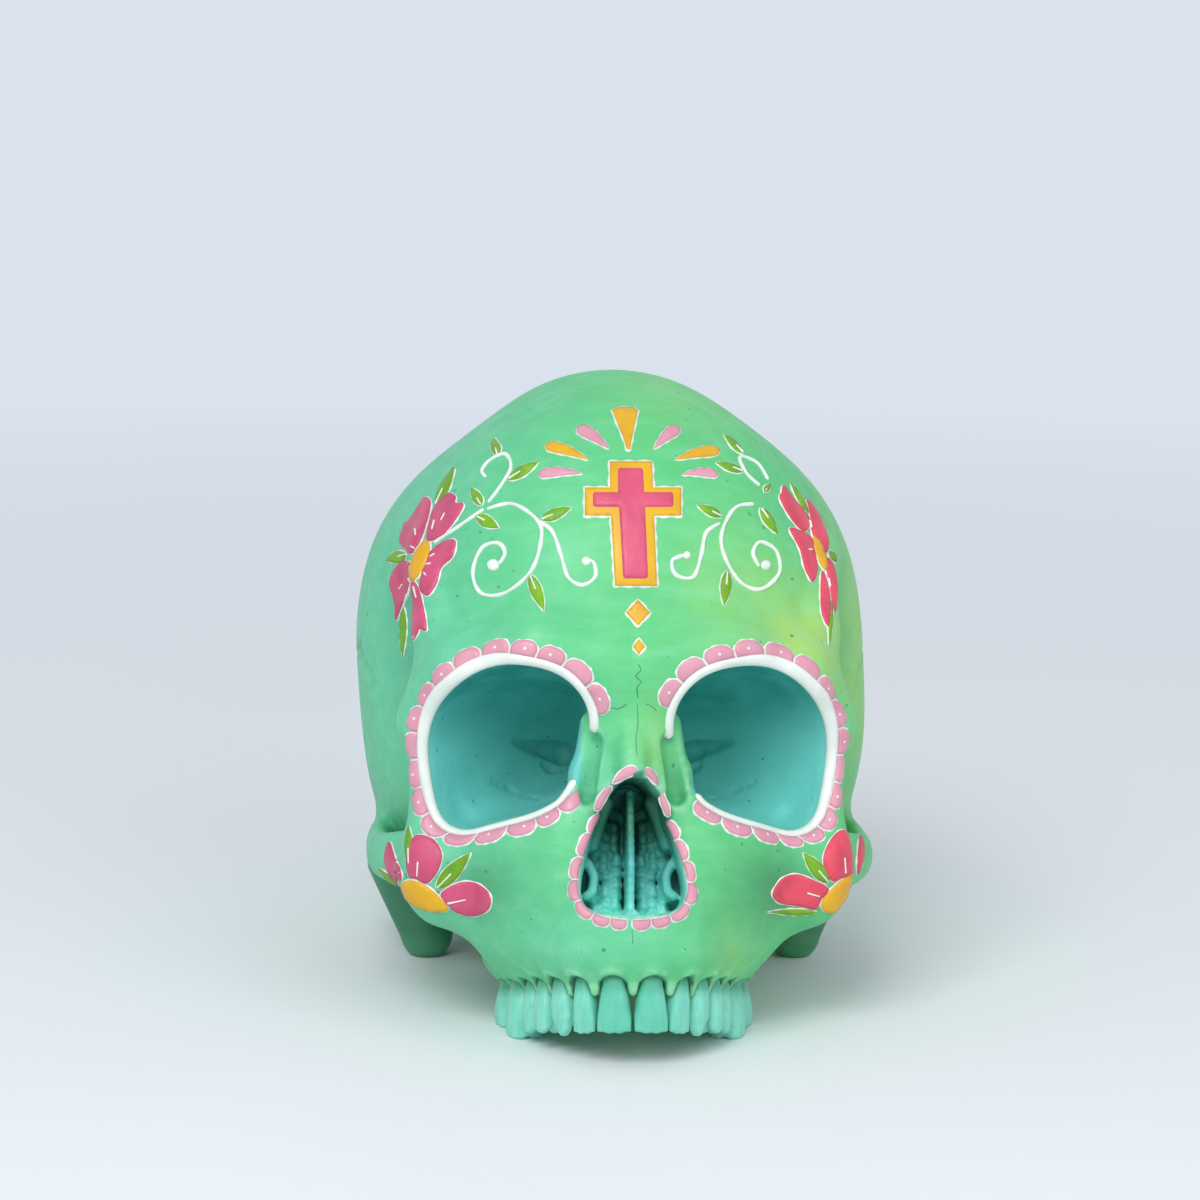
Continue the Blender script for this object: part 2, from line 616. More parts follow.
def net_points(value, axes):
    """One point in each cell that the surface passes through, and the numbers of those cells."""
    inside = value < 0
    shape = np.array(value.shape)
    corners = [(i, j, k) for i in (0, 1) for j in (0, 1) for k in (0, 1)]
    count = np.zeros(shape - 1, np.int8)
    for i, j, k in corners:
        count += inside[i:shape[0] - 1 + i, j:shape[1] - 1 + j, k:shape[2] - 1 + k]
    cells = np.argwhere((count > 0) & (count < 8))
    ids = np.full(shape - 1, -1, np.int64)
    ids[tuple(cells.T)] = np.arange(len(cells))
    total, hits = np.zeros((len(cells), 3)), np.zeros(len(cells))
    for corner in corners:
        for axis in range(3):
            if corner[axis]:
                continue
            other = list(corner)
            other[axis] = 1
            fa, fb = value[tuple((cells + corner).T)], value[tuple((cells + other).T)]
            cut = (fa < 0) != (fb < 0)
            spot = np.tile(np.array(corner, float), (len(cells), 1))
            spot[:, axis] += np.where(cut, fa / np.where(cut, fa - fb, 1), 0)
            total += spot * cut[:, None]
            hits += cut
    local = cells + total / hits[:, None]
    return np.stack([np.interp(local[:, i], np.arange(len(s)), s) for i, s in enumerate(axes)], 1), ids


def net_quads(value, ids):
    """One quad across each grid edge that the surface cuts, turned outward."""
    inside = value < 0
    shape = value.shape
    quads = []
    for axis in range(3):
        u, v = (axis + 1) % 3, (axis + 2) % 3
        a = np.moveaxis(inside, axis, 0)
        edges = np.argwhere(np.moveaxis(a[:-1] != a[1:], 0, axis))
        for side in (u, v):
            edges = edges[(edges[:, side] > 0) & (edges[:, side] < shape[side] - 1)]
        ring = []
        for du, dv in ((-1, -1), (0, -1), (0, 0), (-1, 0)):
            cell = edges.copy()
            cell[:, u] += du
            cell[:, v] += dv
            ring.append(ids[tuple(cell.T)])
        quad = np.stack(ring, 1)
        outward = inside[tuple(edges.T)]
        quad[~outward] = quad[~outward][:, ::-1]
        quads.append(quad)
    return np.concatenate(quads)


print("surface nets ready")

# %% The skin
VAULT_LEAN = 1.5


def point_normals(points, quads):
    """The mean normal of the quads round each point."""
    a, b, c, d = (points[quads[:, k]] for k in range(4))
    across = np.cross(c - a, d - b)
    total = np.zeros_like(points)
    for k in range(4):
        np.add.at(total, quads[:, k], across)
    return total / (np.linalg.norm(total, axis=1)[:, None] + 1e-20)


whole = np.concatenate([grid.value[:0:-1], grid.value])
half_x = grid.axes[0]
skin_points, cell_ids = net_points(whole, (np.concatenate([-half_x[:0:-1], half_x]), *grid.axes[1:]))
skin_faces = net_quads(whole, cell_ids)
skin_points[:, 0] -= VAULT_LEAN * smooth(-62, -10, skin_points[:, 1]) * smooth(25, 65, skin_points[:, 2])
table_points = to_table(skin_points)
skin_normals = point_normals(table_points, skin_faces)
print("skin:", len(skin_points), "points", len(skin_faces), "quads")

# %% [markdown]
# ## Paint
# The skull is coated with opaque brush paint. An image texture would need its own picture, so every paint
# is a node material in object space: a colour that wanders a little, brush streaks, fine grain in the bump
# and an uneven gloss. A small class keeps the node wiring out of the way, so that a paint reads as a
# recipe.

# %% Paint builder


def srgb(code):
    c = np.array([int(code[i:i + 2], 16) for i in (0, 2, 4)]) / 255
    return (*np.where(c <= 0.04045, c / 12.92, ((c + 0.055) / 1.055) ** 2.4), 1)


class Paint:
    """A small builder round one material's node tree."""

    def __init__(self, name, roughness):
        self.material = bpy.data.materials.new(name)
        self.material.use_nodes = True
        self.tree = self.material.node_tree
        self.shader = self.tree.nodes["Principled BSDF"]
        self.place = self.tree.nodes.new("ShaderNodeTexCoord").outputs["Object"]
        self.normal = None
        wander = self.spread(self.noise(160, 3), 0.3, 0.7, roughness - 0.08, roughness + 0.1)
        self.link(wander, self.shader.inputs["Roughness"])

    def link(self, source, target):
        self.tree.links.new(source, target)

    def feed(self, *pairs):
        """Set each socket to a number or a colour, or link it to another node."""
        for source, target in pairs:
            if isinstance(source, (float, tuple)):
                target.default_value = source
            else:
                self.link(source, target)

    def noise(self, scale, detail=4, stretch=(1, 1, 1)):
        mapping = self.tree.nodes.new("ShaderNodeMapping")
        mapping.inputs["Scale"].default_value = stretch
        self.link(self.place, mapping.inputs["Vector"])
        texture = self.tree.nodes.new("ShaderNodeTexNoise")
        texture.inputs["Scale"].default_value = scale
        texture.inputs["Detail"].default_value = detail
        self.link(mapping.outputs["Vector"], texture.inputs["Vector"])
        return texture.outputs["Fac"]

    def mask(self, name):
        attribute = self.tree.nodes.new("ShaderNodeAttribute")
        attribute.attribute_name = name
        return attribute.outputs["Fac"]

    def spread(self, value, low, high, to_low=0.0, to_high=1.0):
        node = self.tree.nodes.new("ShaderNodeMapRange")
        for key, number in (("From Min", low), ("From Max", high), ("To Min", to_low), ("To Max", to_high)):
            node.inputs[key].default_value = number
        self.link(value, node.inputs["Value"])
        return node.outputs["Result"]

    def times(self, a, b):
        node = self.tree.nodes.new("ShaderNodeMath")
        node.operation = "MULTIPLY"
        self.feed((a, node.inputs[0]), (b, node.inputs[1]))
        return node.outputs["Value"]

    def mix(self, share, a, b):
        node = self.tree.nodes.new("ShaderNodeMix")
        node.data_type = "RGBA"
        self.feed((share, node.inputs[0]), (a, node.inputs[6]), (b, node.inputs[7]))
        return node.outputs[2]

    def bump(self, height, millimetres):
        node = self.tree.nodes.new("ShaderNodeBump")
        node.inputs["Distance"].default_value = millimetres / METRE
        self.link(height, node.inputs["Height"])
        if self.normal is not None:
            self.link(self.normal, node.inputs["Normal"])
        self.normal = node.outputs["Normal"]

    def done(self, colour):
        self.link(colour, self.shader.inputs["Base Color"])
        if self.normal is not None:
            self.link(self.normal, self.shader.inputs["Normal"])
        return self.material


print("paint builder ready")

# %% Brush paints


def brushed(name, colour, deep, roughness=0.42):
    """Opaque brush paint: two close tones, streaks and grain."""
    paint = Paint(name, roughness)
    cloud = paint.spread(paint.noise(120, 3), 0.35, 0.7)
    streak = paint.noise(520, 2, (1, 0.25, 0.25))
    tone = paint.mix(cloud, srgb(colour), srgb(deep))
    tone = paint.mix(paint.spread(streak, 0.35, 0.75, 0.0, 0.35), tone, srgb(deep))
    paint.bump(streak, 0.12)
    paint.bump(paint.noise(1500, 2), 0.06)
    return paint.done(tone)


WHITE = brushed("white_liner", "f3f5ef", "dde7df")
YELLOW = brushed("yellow_paint", "e8b416", "d9a00c")
ROSE = brushed("rose_paint", "d6557b", "bd4268")
CORAL = brushed("coral_paint", "ea4f63", "cf3f58")
CROSS_ROSE = brushed("cross_rose_paint", "dd5578", "cc4468")
BLUSH = brushed("blush_paint", "e09fb0", "d68fa3")
LEAF = brushed("leaf_paint", "7cb806", "5f9508")
print("paints:", len(bpy.data.materials))

# %% [markdown]
# ## Where the colours change
# The mint leans to turquoise on the skull's right side, to yellow-green on its left forehead and to teal
# inside the sockets and the nose. Such areas could be painted by hand with a brush tool. Here they are
# masks, worked out at each point of the skin from its place and its bend, and stored on the mesh for the
# material to read.

# %% Rim and bend of the skin


def socket_curve():
    """Where the socket's cone leaves the bone, all the way round, and the way outward."""
    angle = np.linspace(0, 2 * np.pi, 180, endpoint=False)
    u, v = SOCKET_WIDE * np.cos(angle), SOCKET_HIGH * np.sin(angle)
    swell = 1 / socket_round(u, v)
    away = np.outer(u * swell, SOCKET_INWARD) + np.outer(v * swell, SOCKET_UPWARD)
    depths = np.arange(-0.4, 0.6, 0.005)
    start = []
    for out in away:
        line = MOUTH + np.outer(depths * SOCKET_LENGTH, SOCKET_AXIS) + np.outer(socket_share(depths), out)
        start.append(depths[np.argmax(sample(solid_form, line) < 0)])
    waves = np.fft.rfft(np.median([np.roll(start, k) for k in range(-4, 5)], axis=0))
    waves[4:] = 0
    start = np.fft.irfft(waves, len(away))
    return MOUTH + np.outer(start * SOCKET_LENGTH, SOCKET_AXIS) + away * socket_share(start)[:, None], away


def round_axis(points):
    """Angle and distance of points round the socket's axis."""
    u, v = (points - MOUTH) @ SOCKET_INWARD, (points - MOUTH) @ SOCKET_UPWARD
    return np.arctan2(v, u), np.hypot(u, v)


def bending(points, normals, quads):
    """How strongly the skin bulges at each point, in 1/mm: above zero on a ridge, below zero in a groove."""
    total, spread, count = np.zeros_like(points), np.zeros(len(points)), np.zeros(len(points))
    for k in range(4):
        for a, b in ((quads[:, k], quads[:, k - 1]), (quads[:, k - 1], quads[:, k])):
            np.add.at(total, a, points[b])
            np.add.at(spread, a, ((points[b] - points[a]) ** 2).sum(1))
            np.add.at(count, a, 1)
    upright = np.stack([normals[:, 0], normals[:, 1] * PITCH_COS - normals[:, 2] * PITCH_SIN,
                        normals[:, 1] * PITCH_SIN + normals[:, 2] * PITCH_COS], 1)
    bulge = ((points - total / count[:, None]) * upright).sum(1) * count / spread
    for _ in range(3):
        mean = np.zeros(len(points))
        for k in range(4):
            np.add.at(mean, quads[:, k], bulge[quads[:, k - 1]] + bulge[quads[:, k - 3]])
        bulge = 0.5 * bulge + 0.5 * mean / count
    return bulge


bend = bending(skin_points, skin_normals, skin_faces)
print("bend of the skin:", round(float(bend.min()), 2), "to", round(float(bend.max()), 2), "per mm")

# %% Masks
WARM_PATCHES = (
    (1, (44, -70, 48), (13, 40, 15)), (0.55, (24, -70, 60), (13, 30, 18)), (0.5, (5, -90, 22), (4, 14, 10)),
    (0.6, (62, -20, 55), (14, 50, 50)), (0.5, (24, -70, -28), (6, 20, 8)),
    (0.35, (14, -30, 112), (16, 40, 14)),
)
COOL_PATCHES = ((0.6, (-8, -84, 14), (7, 12, 12)), (0.6, (-8, -90, -28), (20, 18, 9)))
DUSK_BOTH_SIDES = ((1.3, (52, 12, -12), (22, 30, 20)), (0.5, (57, -44, 46), (7, 12, 24)))
DUSK_PATCHES = (
    (0.55, (-33, -66, -13), (16, 24, 8)), (0.85, (31, -66, -13), (16, 24, 10)),
    (0.3, (12, -84, 14), (5, 8, 12)),
)
LEDGE_EDGE_LEFT, LEDGE_EDGE_RIGHT = 15.4, 12.4


def patches(points, rows):
    """A sum of soft round patches, each with its strength, its middle and its reach."""
    return sum(strength * soft_patch(*points.T, centre, reach) for strength, centre, reach in rows)


on_left = skin_points[:, 0] > 0
px, py, pz = np.abs(skin_points[:, 0]), skin_points[:, 1], skin_points[:, 2]
both = np.stack([px, py, pz], 1)
edge_angle, edge_reach = round_axis(socket_curve()[0])
angle, reach = round_axis(both)
past_rim = reach - np.interp(angle, edge_angle, edge_reach, period=2 * np.pi)
in_eye = smooth(2.0, 1.0, past_rim) * (socket(px, py, pz)[1] > -0.15) * (py < -24) * (px < 56)
past_ledge = px - np.where(on_left, LEDGE_EDGE_LEFT, LEDGE_EDGE_RIGHT)
in_eye *= 1 - smooth(-77, -79.5, py) * smooth(0.4, -0.8, past_ledge) * smooth(32, 28, pz)
nose_margin = 0.9 + 1.1 * smooth(0, 8, pz)
in_nose = smooth(0, -0.8, nose(px, py, pz) - nose_margin)
nose_front, nose_high = smooth(-64, -68, py), smooth(-9, 3, pz)
crevice = np.zeros(len(skin_points))
for name, x, width, depth, edge, shape in TEETH:
    clear = neck(x, width, depth)[2](px, py, pz)
    crevice = np.maximum(crevice, smooth(0.25, -0.3, clear) * smooth(-30, -34, pz))
nose_gloom = 0.7 * in_nose * smooth(-14, 0, pz) * nose_front
nose_glow = 0.8 * in_nose * (smooth(-10, -19, pz) + nose_high * (1 - nose_front))
dusk = patches(both, DUSK_BOTH_SIDES) + patches(skin_points, DUSK_PATCHES)
MASKS = {
    "ridge": smooth(0.02, 0.14, bend),
    "cavity": smooth(-0.02, -0.14, bend),
    "warm": patches(skin_points, WARM_PATCHES),
    "cool": smooth(10, -60, skin_points[:, 0]) * 0.75 + patches(skin_points, COOL_PATCHES),
    "crevice": crevice,
    "hollow": np.maximum(in_eye, in_nose),
    "gloom": np.maximum(in_eye * smooth(20, 40, pz), nose_gloom),
    "glow": nose_glow + 0.2 * in_eye * on_left * smooth(36, 24, pz),
    "dusk": dusk + 0.9 * in_nose * nose_front * nose_high,
}
print("masks:", {name: round(float(np.mean(values > 0.3)), 3) for name, values in MASKS.items()})

# %% [markdown]
# ## Mint skin
# The real coat is a mid green with streaks of lighter paint, rubbed pale on the ridges and darker in the
# grooves, and flecked with tiny specks. Each line lays one more tone over those before it, where a mask or
# a noise lets it through, much as a painter works in glazes.

# %% Mint skin
paint = Paint("mint_skin", 0.5)
cloud = paint.noise(28, 4)
streak = paint.noise(260, 3, (0.3, 1, 1))
cool_share = paint.times(paint.mask("cool"), paint.spread(cloud, 0.3, 0.65, 0.55, 1.0))
warm_share = paint.times(paint.mask("warm"), paint.spread(cloud, 0.3, 0.6, 0.6, 1.0))
tone = paint.mix(cool_share, srgb("59c67b"), srgb("65c6a6"))
tone = paint.mix(warm_share, tone, srgb("a9d469"))
tone = paint.mix(paint.spread(streak, 0.42, 0.72, 0.0, 0.3), tone, srgb("86dcaa"))
tone = paint.mix(paint.spread(paint.noise(60, 5), 0.5, 0.8, 0.0, 0.45), tone, srgb("4fb47c"))
worn = paint.times(paint.mask("ridge"), paint.spread(paint.noise(240, 4), 0.35, 0.65, 0.1, 0.75))
tone = paint.mix(worn, tone, srgb("9fe6b6"))
tone = paint.mix(paint.times(paint.mask("cavity"), 0.5), tone, srgb("34936a"))
inside = paint.mix(paint.mask("gloom"), srgb("6ccbc3"), srgb("178a80"))
inside = paint.mix(paint.spread(paint.noise(90, 4), 0.4, 0.7, 0.0, 0.5), inside, srgb("58b9b2"))
inside = paint.mix(paint.mask("glow"), inside, srgb("8ff0e4"))
tone = paint.mix(paint.mask("hollow"), tone, inside)
for mask, share, colour in (("dusk", 0.9, "29704e"), ("crevice", 0.9, "16503c"), ("seam", 0.45, "318a5d")):
    tone = paint.mix(paint.times(paint.mask(mask), share), tone, srgb(colour))
speck = paint.spread(paint.noise(420, 1), 0.75, 0.78)
tone = paint.mix(paint.times(speck, 0.6), tone, srgb("24674c"))
paint.bump(streak, 0.22)
paint.bump(paint.noise(700, 4), 0.12)
paint.bump(paint.noise(90, 3), 0.3)
MINT = paint.done(tone)
print("mint skin: nodes", len(paint.tree.nodes))

# %% [markdown]
# ## Bones
# The skull is seventeen bones that have grown together along wavy sutures. One mesh would be simpler, but
# each bone stays a piece of its own: every quad goes to the CAD bone whose solid lies nearest, and a small
# wiggle makes the line between two bones ragged. All pieces keep the normals of the whole skin, so the
# paint shows no seam.

# %% Sharing the skin among the bones
SUTURE_DEPTH = 0.25
BONES = ["vomer"] + sorted(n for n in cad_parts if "bone" in n or "maxilla" in n or "concha" in n)
VAULT_BONES = ("frontal", "parietal", "occipital", "temporal")
WIGGLES = ((0.0014, 950, [1, 2, 0]), (0.0008, 2300, [2, 0, 1]))
corners, triangles, owner = [], [], []
for number, name in enumerate(BONES):
    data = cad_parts[name].data
    data.calc_loop_triangles()
    base = len(corners)
    corners.extend(v.co.copy() for v in data.vertices)
    triangles.extend(tuple(base + k for k in t.vertices) for t in data.loop_triangles)
    owner.extend([number] * len(data.loop_triangles))
bone_tree = BVHTree.FromPolygons(corners, triangles)
middles = table_points[skin_faces].mean(1)
wiggle = sum(size * np.sin(middles[:, axes] * rate) for size, rate, axes in WIGGLES)
wiggle *= smooth(-0.05, -0.03, middles[:, 1:2])
belongs = np.array([owner[bone_tree.find_nearest(Vector(m))[2]] for m in middles + wiggle])
first, last = np.full(len(skin_points), len(BONES)), np.full(len(skin_points), -1)
np.minimum.at(first, skin_faces.ravel(), np.repeat(belongs, 4))
np.maximum.at(last, skin_faces.ravel(), np.repeat(belongs, 4))
vault = [k for k, name in enumerate(BONES) if name.startswith(VAULT_BONES)]
seam = (first != last) * np.isin(first, vault) * np.isin(last, vault) * smooth(-30, -10, py)
table_points = table_points - skin_normals * (SUTURE_DEPTH / METRE * seam)[:, None]
table_points[:, 2] = np.maximum(table_points[:, 2], 0)
skin_normals = point_normals(table_points, skin_faces)
MASKS["seam"] = seam
print("points on the vault's sutures:", int((seam > 0.5).sum()))

# %% Bone pieces


def mesh_object(name, points, faces, materials=()):
    mesh = bpy.data.meshes.new(name)
    mesh.from_pydata([tuple(p) for p in points], [], [tuple(map(int, f)) for f in faces])
    mesh.shade_smooth()
    for material in materials:
        mesh.materials.append(material)
    piece = bpy.data.objects.new(name, mesh)
    scene.collection.objects.link(piece)
    return piece


def store(piece, name, values):
    layer = piece.data.attributes.new(name, "FLOAT", "POINT")
    layer.data.foreach_set("value", np.clip(values, 0, 1).astype(np.float32))


for number, name in enumerate(BONES):
    faces = skin_faces[belongs == number]
    if not len(faces):
        continue
    used, compact = np.unique(faces, return_inverse=True)
    piece = mesh_object(name + "_surface", table_points[used], compact.reshape(faces.shape), [MINT])
    piece.data.normals_split_custom_set_from_vertices([tuple(n) for n in skin_normals[used]])
    for mask, values in MASKS.items():
        store(piece, mask, values[used])
    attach(piece, "root")
    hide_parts(name)
    print(name, len(faces), "quads")

# %% [markdown]
# ## Teeth
# Each tooth is its own body: a root in the jaw, a crown that swells and then narrows, and a biting edge
# that is a blade, a point or a set of cusps. Subdivided cubes would all look alike, so a tooth is a stack
# of rounded rings with its own half sizes at four heights, closed by a cap that a cusp function lifts and
# sinks.

# %% Tooth shapes
SIDE_RINGS, CAP_RINGS, AROUND = 14, 8, 40
CROWN_LEAN, TOOTH_GAP = 0.11, 0.985
HEIGHTS = (0, 0.35, 0.72, 1)
SHAPES = {
    "blade": ((0.34, 0.42, 0.49, 0.485), (0.44, 0.43, 0.27, 0.14), 0.6),
    "point": ((0.36, 0.45, 0.465, 0.30), (0.45, 0.46, 0.36, 0.18), 0.9),
    "pair": ((0.37, 0.45, 0.48, 0.40), (0.42, 0.46, 0.44, 0.34), 1.2),
    "four": ((0.39, 0.465, 0.487, 0.43), (0.42, 0.47, 0.46, 0.38), 1.2),
}


def cusps(shape, u, v):
    if shape == "blade":
        return 0.12 * np.cos(3 * np.pi * u) + 0.25 * u ** 2
    if shape == "point":
        return 1.5 * np.abs(u)
    if shape == "pair":
        return 1.2 * np.exp(-((v / 0.3) ** 2)) + 0.8 * u ** 2
    return 0.8 * np.exp(-((v / 0.28) ** 2)) + 0.6 * np.exp(-((u / 0.28) ** 2))


def tooth_rings(edge, shape):
    """Half width, half depth, lean, height, share of the cusps and shrinking of each ring."""
    half_width, half_depth, cap = SHAPES[shape]
    rings = [(0.2, 0.2, 0, GUM + 8, 0, 1), (0.34, 0.36, 0, GUM + 3, 0, 1)]
    for t in np.linspace(0, 1, SIDE_RINGS):
        a, b = np.interp(t, HEIGHTS, half_width), np.interp(t, HEIGHTS, half_depth)
        rings.append((a, b, CROWN_LEAN * t ** 1.5, GUM + (edge + cap - GUM) * t, smooth(0.55, 1, t), 1))
    for turn in np.linspace(0, np.pi / 2, CAP_RINGS + 1)[1:]:
        shrink = np.cos(turn) ** 0.6 if turn < 1.57 else 0.02
        rings.append((half_width[3], half_depth[3], CROWN_LEAN, edge + cap * (1 - np.sin(turn)), 1, shrink))
    return rings


def tooth(x, width, depth, edge, shape, side):
    slope = arch_slope(x)
    along, outward = np.array([1, slope, 0]) / np.hypot(1, slope), arch_outward(x)
    angle = np.linspace(0, 2 * np.pi, AROUND, endpoint=False)
    c, s = np.cos(angle), np.sin(angle)
    round_off = (np.abs(c) ** SQUIRCLE + np.abs(s) ** SQUIRCLE) ** (-1 / SQUIRCLE)
    rings = tooth_rings(edge, shape)
    points = []
    for a, b, lean, z, carve, shrink in rings:
        u, v = c * round_off * shrink, s * round_off * shrink
        place = np.array([x, arch_y(x), 0]) + np.outer(u * a * width * TOOTH_GAP, along)
        place += np.outer((v * b + lean) * depth, outward)
        place[:, 2] = z + carve * cusps(shape, u, v)
        points.append(place)
    points = np.concatenate(points)
    points[:, 0] *= side
    faces = []
    for start in range(0, (len(rings) - 1) * AROUND, AROUND):
        for j in range(AROUND):
            k = (j + 1) % AROUND
            faces.append((start + j, start + AROUND + j, start + AROUND + k, start + k))
    faces.append(tuple(range(AROUND)))
    faces.append(tuple(range((len(rings) - 1) * AROUND, len(rings) * AROUND))[::-1])
    return points, faces if side > 0 else [face[::-1] for face in faces]


print("tooth shapes:", list(SHAPES))

# %% Teeth
paint = Paint("turquoise_teeth", 0.36)
tone = paint.mix(paint.spread(paint.noise(150, 3), 0.35, 0.7), srgb("58c0a4"), srgb("6fcdb2"))
tone = paint.mix(paint.mask("pale"), tone, srgb("8adfca"))
tone = paint.mix(paint.spread(paint.noise(900, 2, (1, 1, 0.12)), 0.4, 0.75, 0.0, 0.35), tone, srgb("4fb49a"))
tone = paint.mix(paint.mask("neck"), tone, srgb("4aa887"))
paint.bump(paint.noise(700, 3, (1, 1, 0.15)), 0.15)
ENAMEL = paint.done(tone)

for side, hand in ((1, "left"), (-1, "right")):
    for name, x, width, depth, edge, shape in TEETH:
        points, faces = tooth(x, width, depth, edge, shape, side)
        piece = mesh_object(f"{name}_{hand}_crown", to_table(points), faces, [ENAMEL])
        store(piece, "neck", smooth(GUM - 3.5, GUM + 0.5, points[:, 2]))
        store(piece, "pale", smooth(5, 16, np.abs(points[:, 0])) * 0.8)
        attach(piece, "root")
        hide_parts(f"{name}_{hand}")
print("teeth:", 2 * len(TEETH))

# %% [markdown]
# ## Laying paint on the skin
# The ornament was brushed and piped onto the finished bone, so it has a little height. A texture would look
# flat at the edges, and a shrinkwrap modifier slides over rims. Here each ornament is an outline in the
# photograph's pixels. Its points are sent through the camera onto the skin, and those that graze it or miss
# are drawn in.

# %% Rays onto the skin
GRAZING, DRAW_STEPS = 0.14, 25
FALL, LINE_FALL = 0.009, 0.016
skin_tree = BVHTree.FromPolygons([Vector(v) for v in table_points], skin_faces.tolist())
camera_turn = camera.rotation_quaternion.to_matrix()
camera_place = np.array(camera.location)


def smooth_normal(point, face):
    ring = skin_faces[face]
    near = 1 / (np.linalg.norm(table_points[ring] - np.array(point), axis=1) + 1e-5)
    normal = (skin_normals[ring] * near[:, None]).sum(0)
    return normal / np.linalg.norm(normal)


def cast(pixel):
    """Where a pixel's ray meets the skin: point, normal, depth and how squarely they meet, or None."""
    way = camera_turn @ pixel_way(pixel).normalized()
    point, _, face, depth = skin_tree.ray_cast(camera.location, way)
    if point is None:
        return None
    normal = smooth_normal(point, face)
    return np.array(point), normal, depth, -float(normal @ np.array(way))


def pixel_of(points):
    """The photograph's pixels at which points of the part are seen."""
    local = (np.asarray(points) - camera_place) @ np.array(camera_turn)
    return PICTURE / 2 + FOCAL * local[:, :2] / -local[:, 2:] * (1, -1)


def kept(pixels, reach=FALL):
    """Pixels and what they hit. One that misses, grazes or falls far behind is drawn toward the middle."""
    pixels = np.array(pixels, float)
    middle = pixels.mean(0)
    hits = [cast(p) for p in pixels]
    usual = np.median([h[2] for h in hits if h])
    for i, start in enumerate(pixels.copy()):
        step = 0
        while (hits[i] is None or hits[i][2] > usual + reach or hits[i][3] < GRAZING) and step < DRAW_STEPS:
            step += 1
            pixels[i] = start + (middle - start) * step / DRAW_STEPS
            hits[i] = cast(pixels[i])
    return pixels, [h or hits[0] for h in hits]


def landed(pixels, reach=FALL):
    """Points and normals on the skin."""
    hits = kept(pixels, reach)[1]
    return np.array([h[0] for h in hits]), np.array([h[1] for h in hits])


def bridge(ring):
    """A way to lay paint that spans an edge: on the plane of the nearer skin under a ring of pixels."""
    hits = [h for h in map(cast, ring) if h]
    near = np.quantile([h[2] for h in hits], 0.4)
    hits = [h for h in hits if h[2] <= near]
    middle, normal = np.mean([h[0] for h in hits], 0), np.mean([h[1] for h in hits], 0)
    toward = camera_place - middle
    normal = normal / np.linalg.norm(normal) + 0.6 * toward / np.linalg.norm(toward)
    normal /= np.linalg.norm(normal)

    def lay(pixels):
        ways = np.array([camera_turn @ pixel_way(p) for p in pixels])
        far = (-toward @ normal) / (ways @ normal)
        return camera_place + ways * far[:, None], np.tile(normal, (len(pixels), 1))

    return lay


print("ray through the middle of the picture meets bone:", cast((PICTURE / 2, PICTURE / 2)) is not None)

# %% [markdown]
# ## Layers and lines
# A petal is a filled outline and a scroll is a line. Both become thin closed pieces: the fill rises from
# its edge like a drop of thick paint, and the line is half round with tapered ends. Under each fill lies a
# slightly larger white one, which shows as the liner round it. The edges waver, as a hand does.

# %% Outlines
PER_PIXEL = 0.25


def straight(points, step=2.0):
    """The closed outline through the points, sampled about every step."""
    p = np.asarray(points, float)
    out = []
    for a, b in zip(p, np.roll(p, -1, 0)):
        count = max(int(np.ceil(np.linalg.norm(b - a) / step)), 1)
        out.extend(a + (b - a) * t for t in np.arange(count) / count)
    return np.array(out)


def both_sides(spine, width):
    """The outline round a middle line, out along one side and back along the other."""
    return np.concatenate([spine + width, (spine - width)[-2:0:-1]])


def grown(ring, amount):
    """The outline pushed outward."""
    way = np.roll(ring, -1, 0) - np.roll(ring, 1, 0)
    area = (ring[:, 0] * np.roll(ring[:, 1], -1) - np.roll(ring[:, 0], -1) * ring[:, 1]).sum()
    out = np.stack([way[:, 1], -way[:, 0]], 1) * np.sign(area)
    amount = amount * (1 + 0.3 * np.sin(np.arange(len(ring)) * 0.8 + ring[0, 0]))[:, None]
    return ring + amount * out / (np.linalg.norm(out, axis=1)[:, None] + 1e-9)


def filled(ring, step):
    """The outline's inside as triangles over points spread evenly."""
    low, high = ring.min(0), ring.max(0)
    gx, gy = np.meshgrid(np.arange(low[0], high[0], step), np.arange(low[1], high[1], step))
    gx = gx + np.where(np.arange(gx.shape[0]) % 2, step / 2, 0)[:, None]
    spots = np.stack([gx.ravel(), gy.ravel()], 1)
    gap = np.linalg.norm(spots[:, None] - ring[None], axis=2).min(1) if len(spots) else np.zeros(0)
    points = [Vector(p) for p in (*ring, *spots[gap > step * 0.6])]
    flat, _, tris, *_ = delaunay_2d_cdt(points, [], [list(range(len(ring)))], 1, 1e-4)
    used = sorted({i for t in tris for i in t})
    order = {old: new for new, old in enumerate(used)}
    return np.array([tuple(flat[i]) for i in used]), [tuple(order[i] for i in t) for t in tris]


square = straight([(0, 0), (10, 0), (10, 10), (0, 10)])
print("a square of 10 pixels is filled with", len(filled(square, 2)[1]), "triangles")

# %% Layers of paint
EDGE_ROUND, SUNK = 0.35, 0.35
LINE_ACROSS = np.array([-1, -0.8, -0.4, 0, 0.4, 0.8, 1, 0.9, -0.9])
LINE_UP = np.array([0, 0.6, 0.92, 1, 0.92, 0.6, 0, -0.5, -0.5])


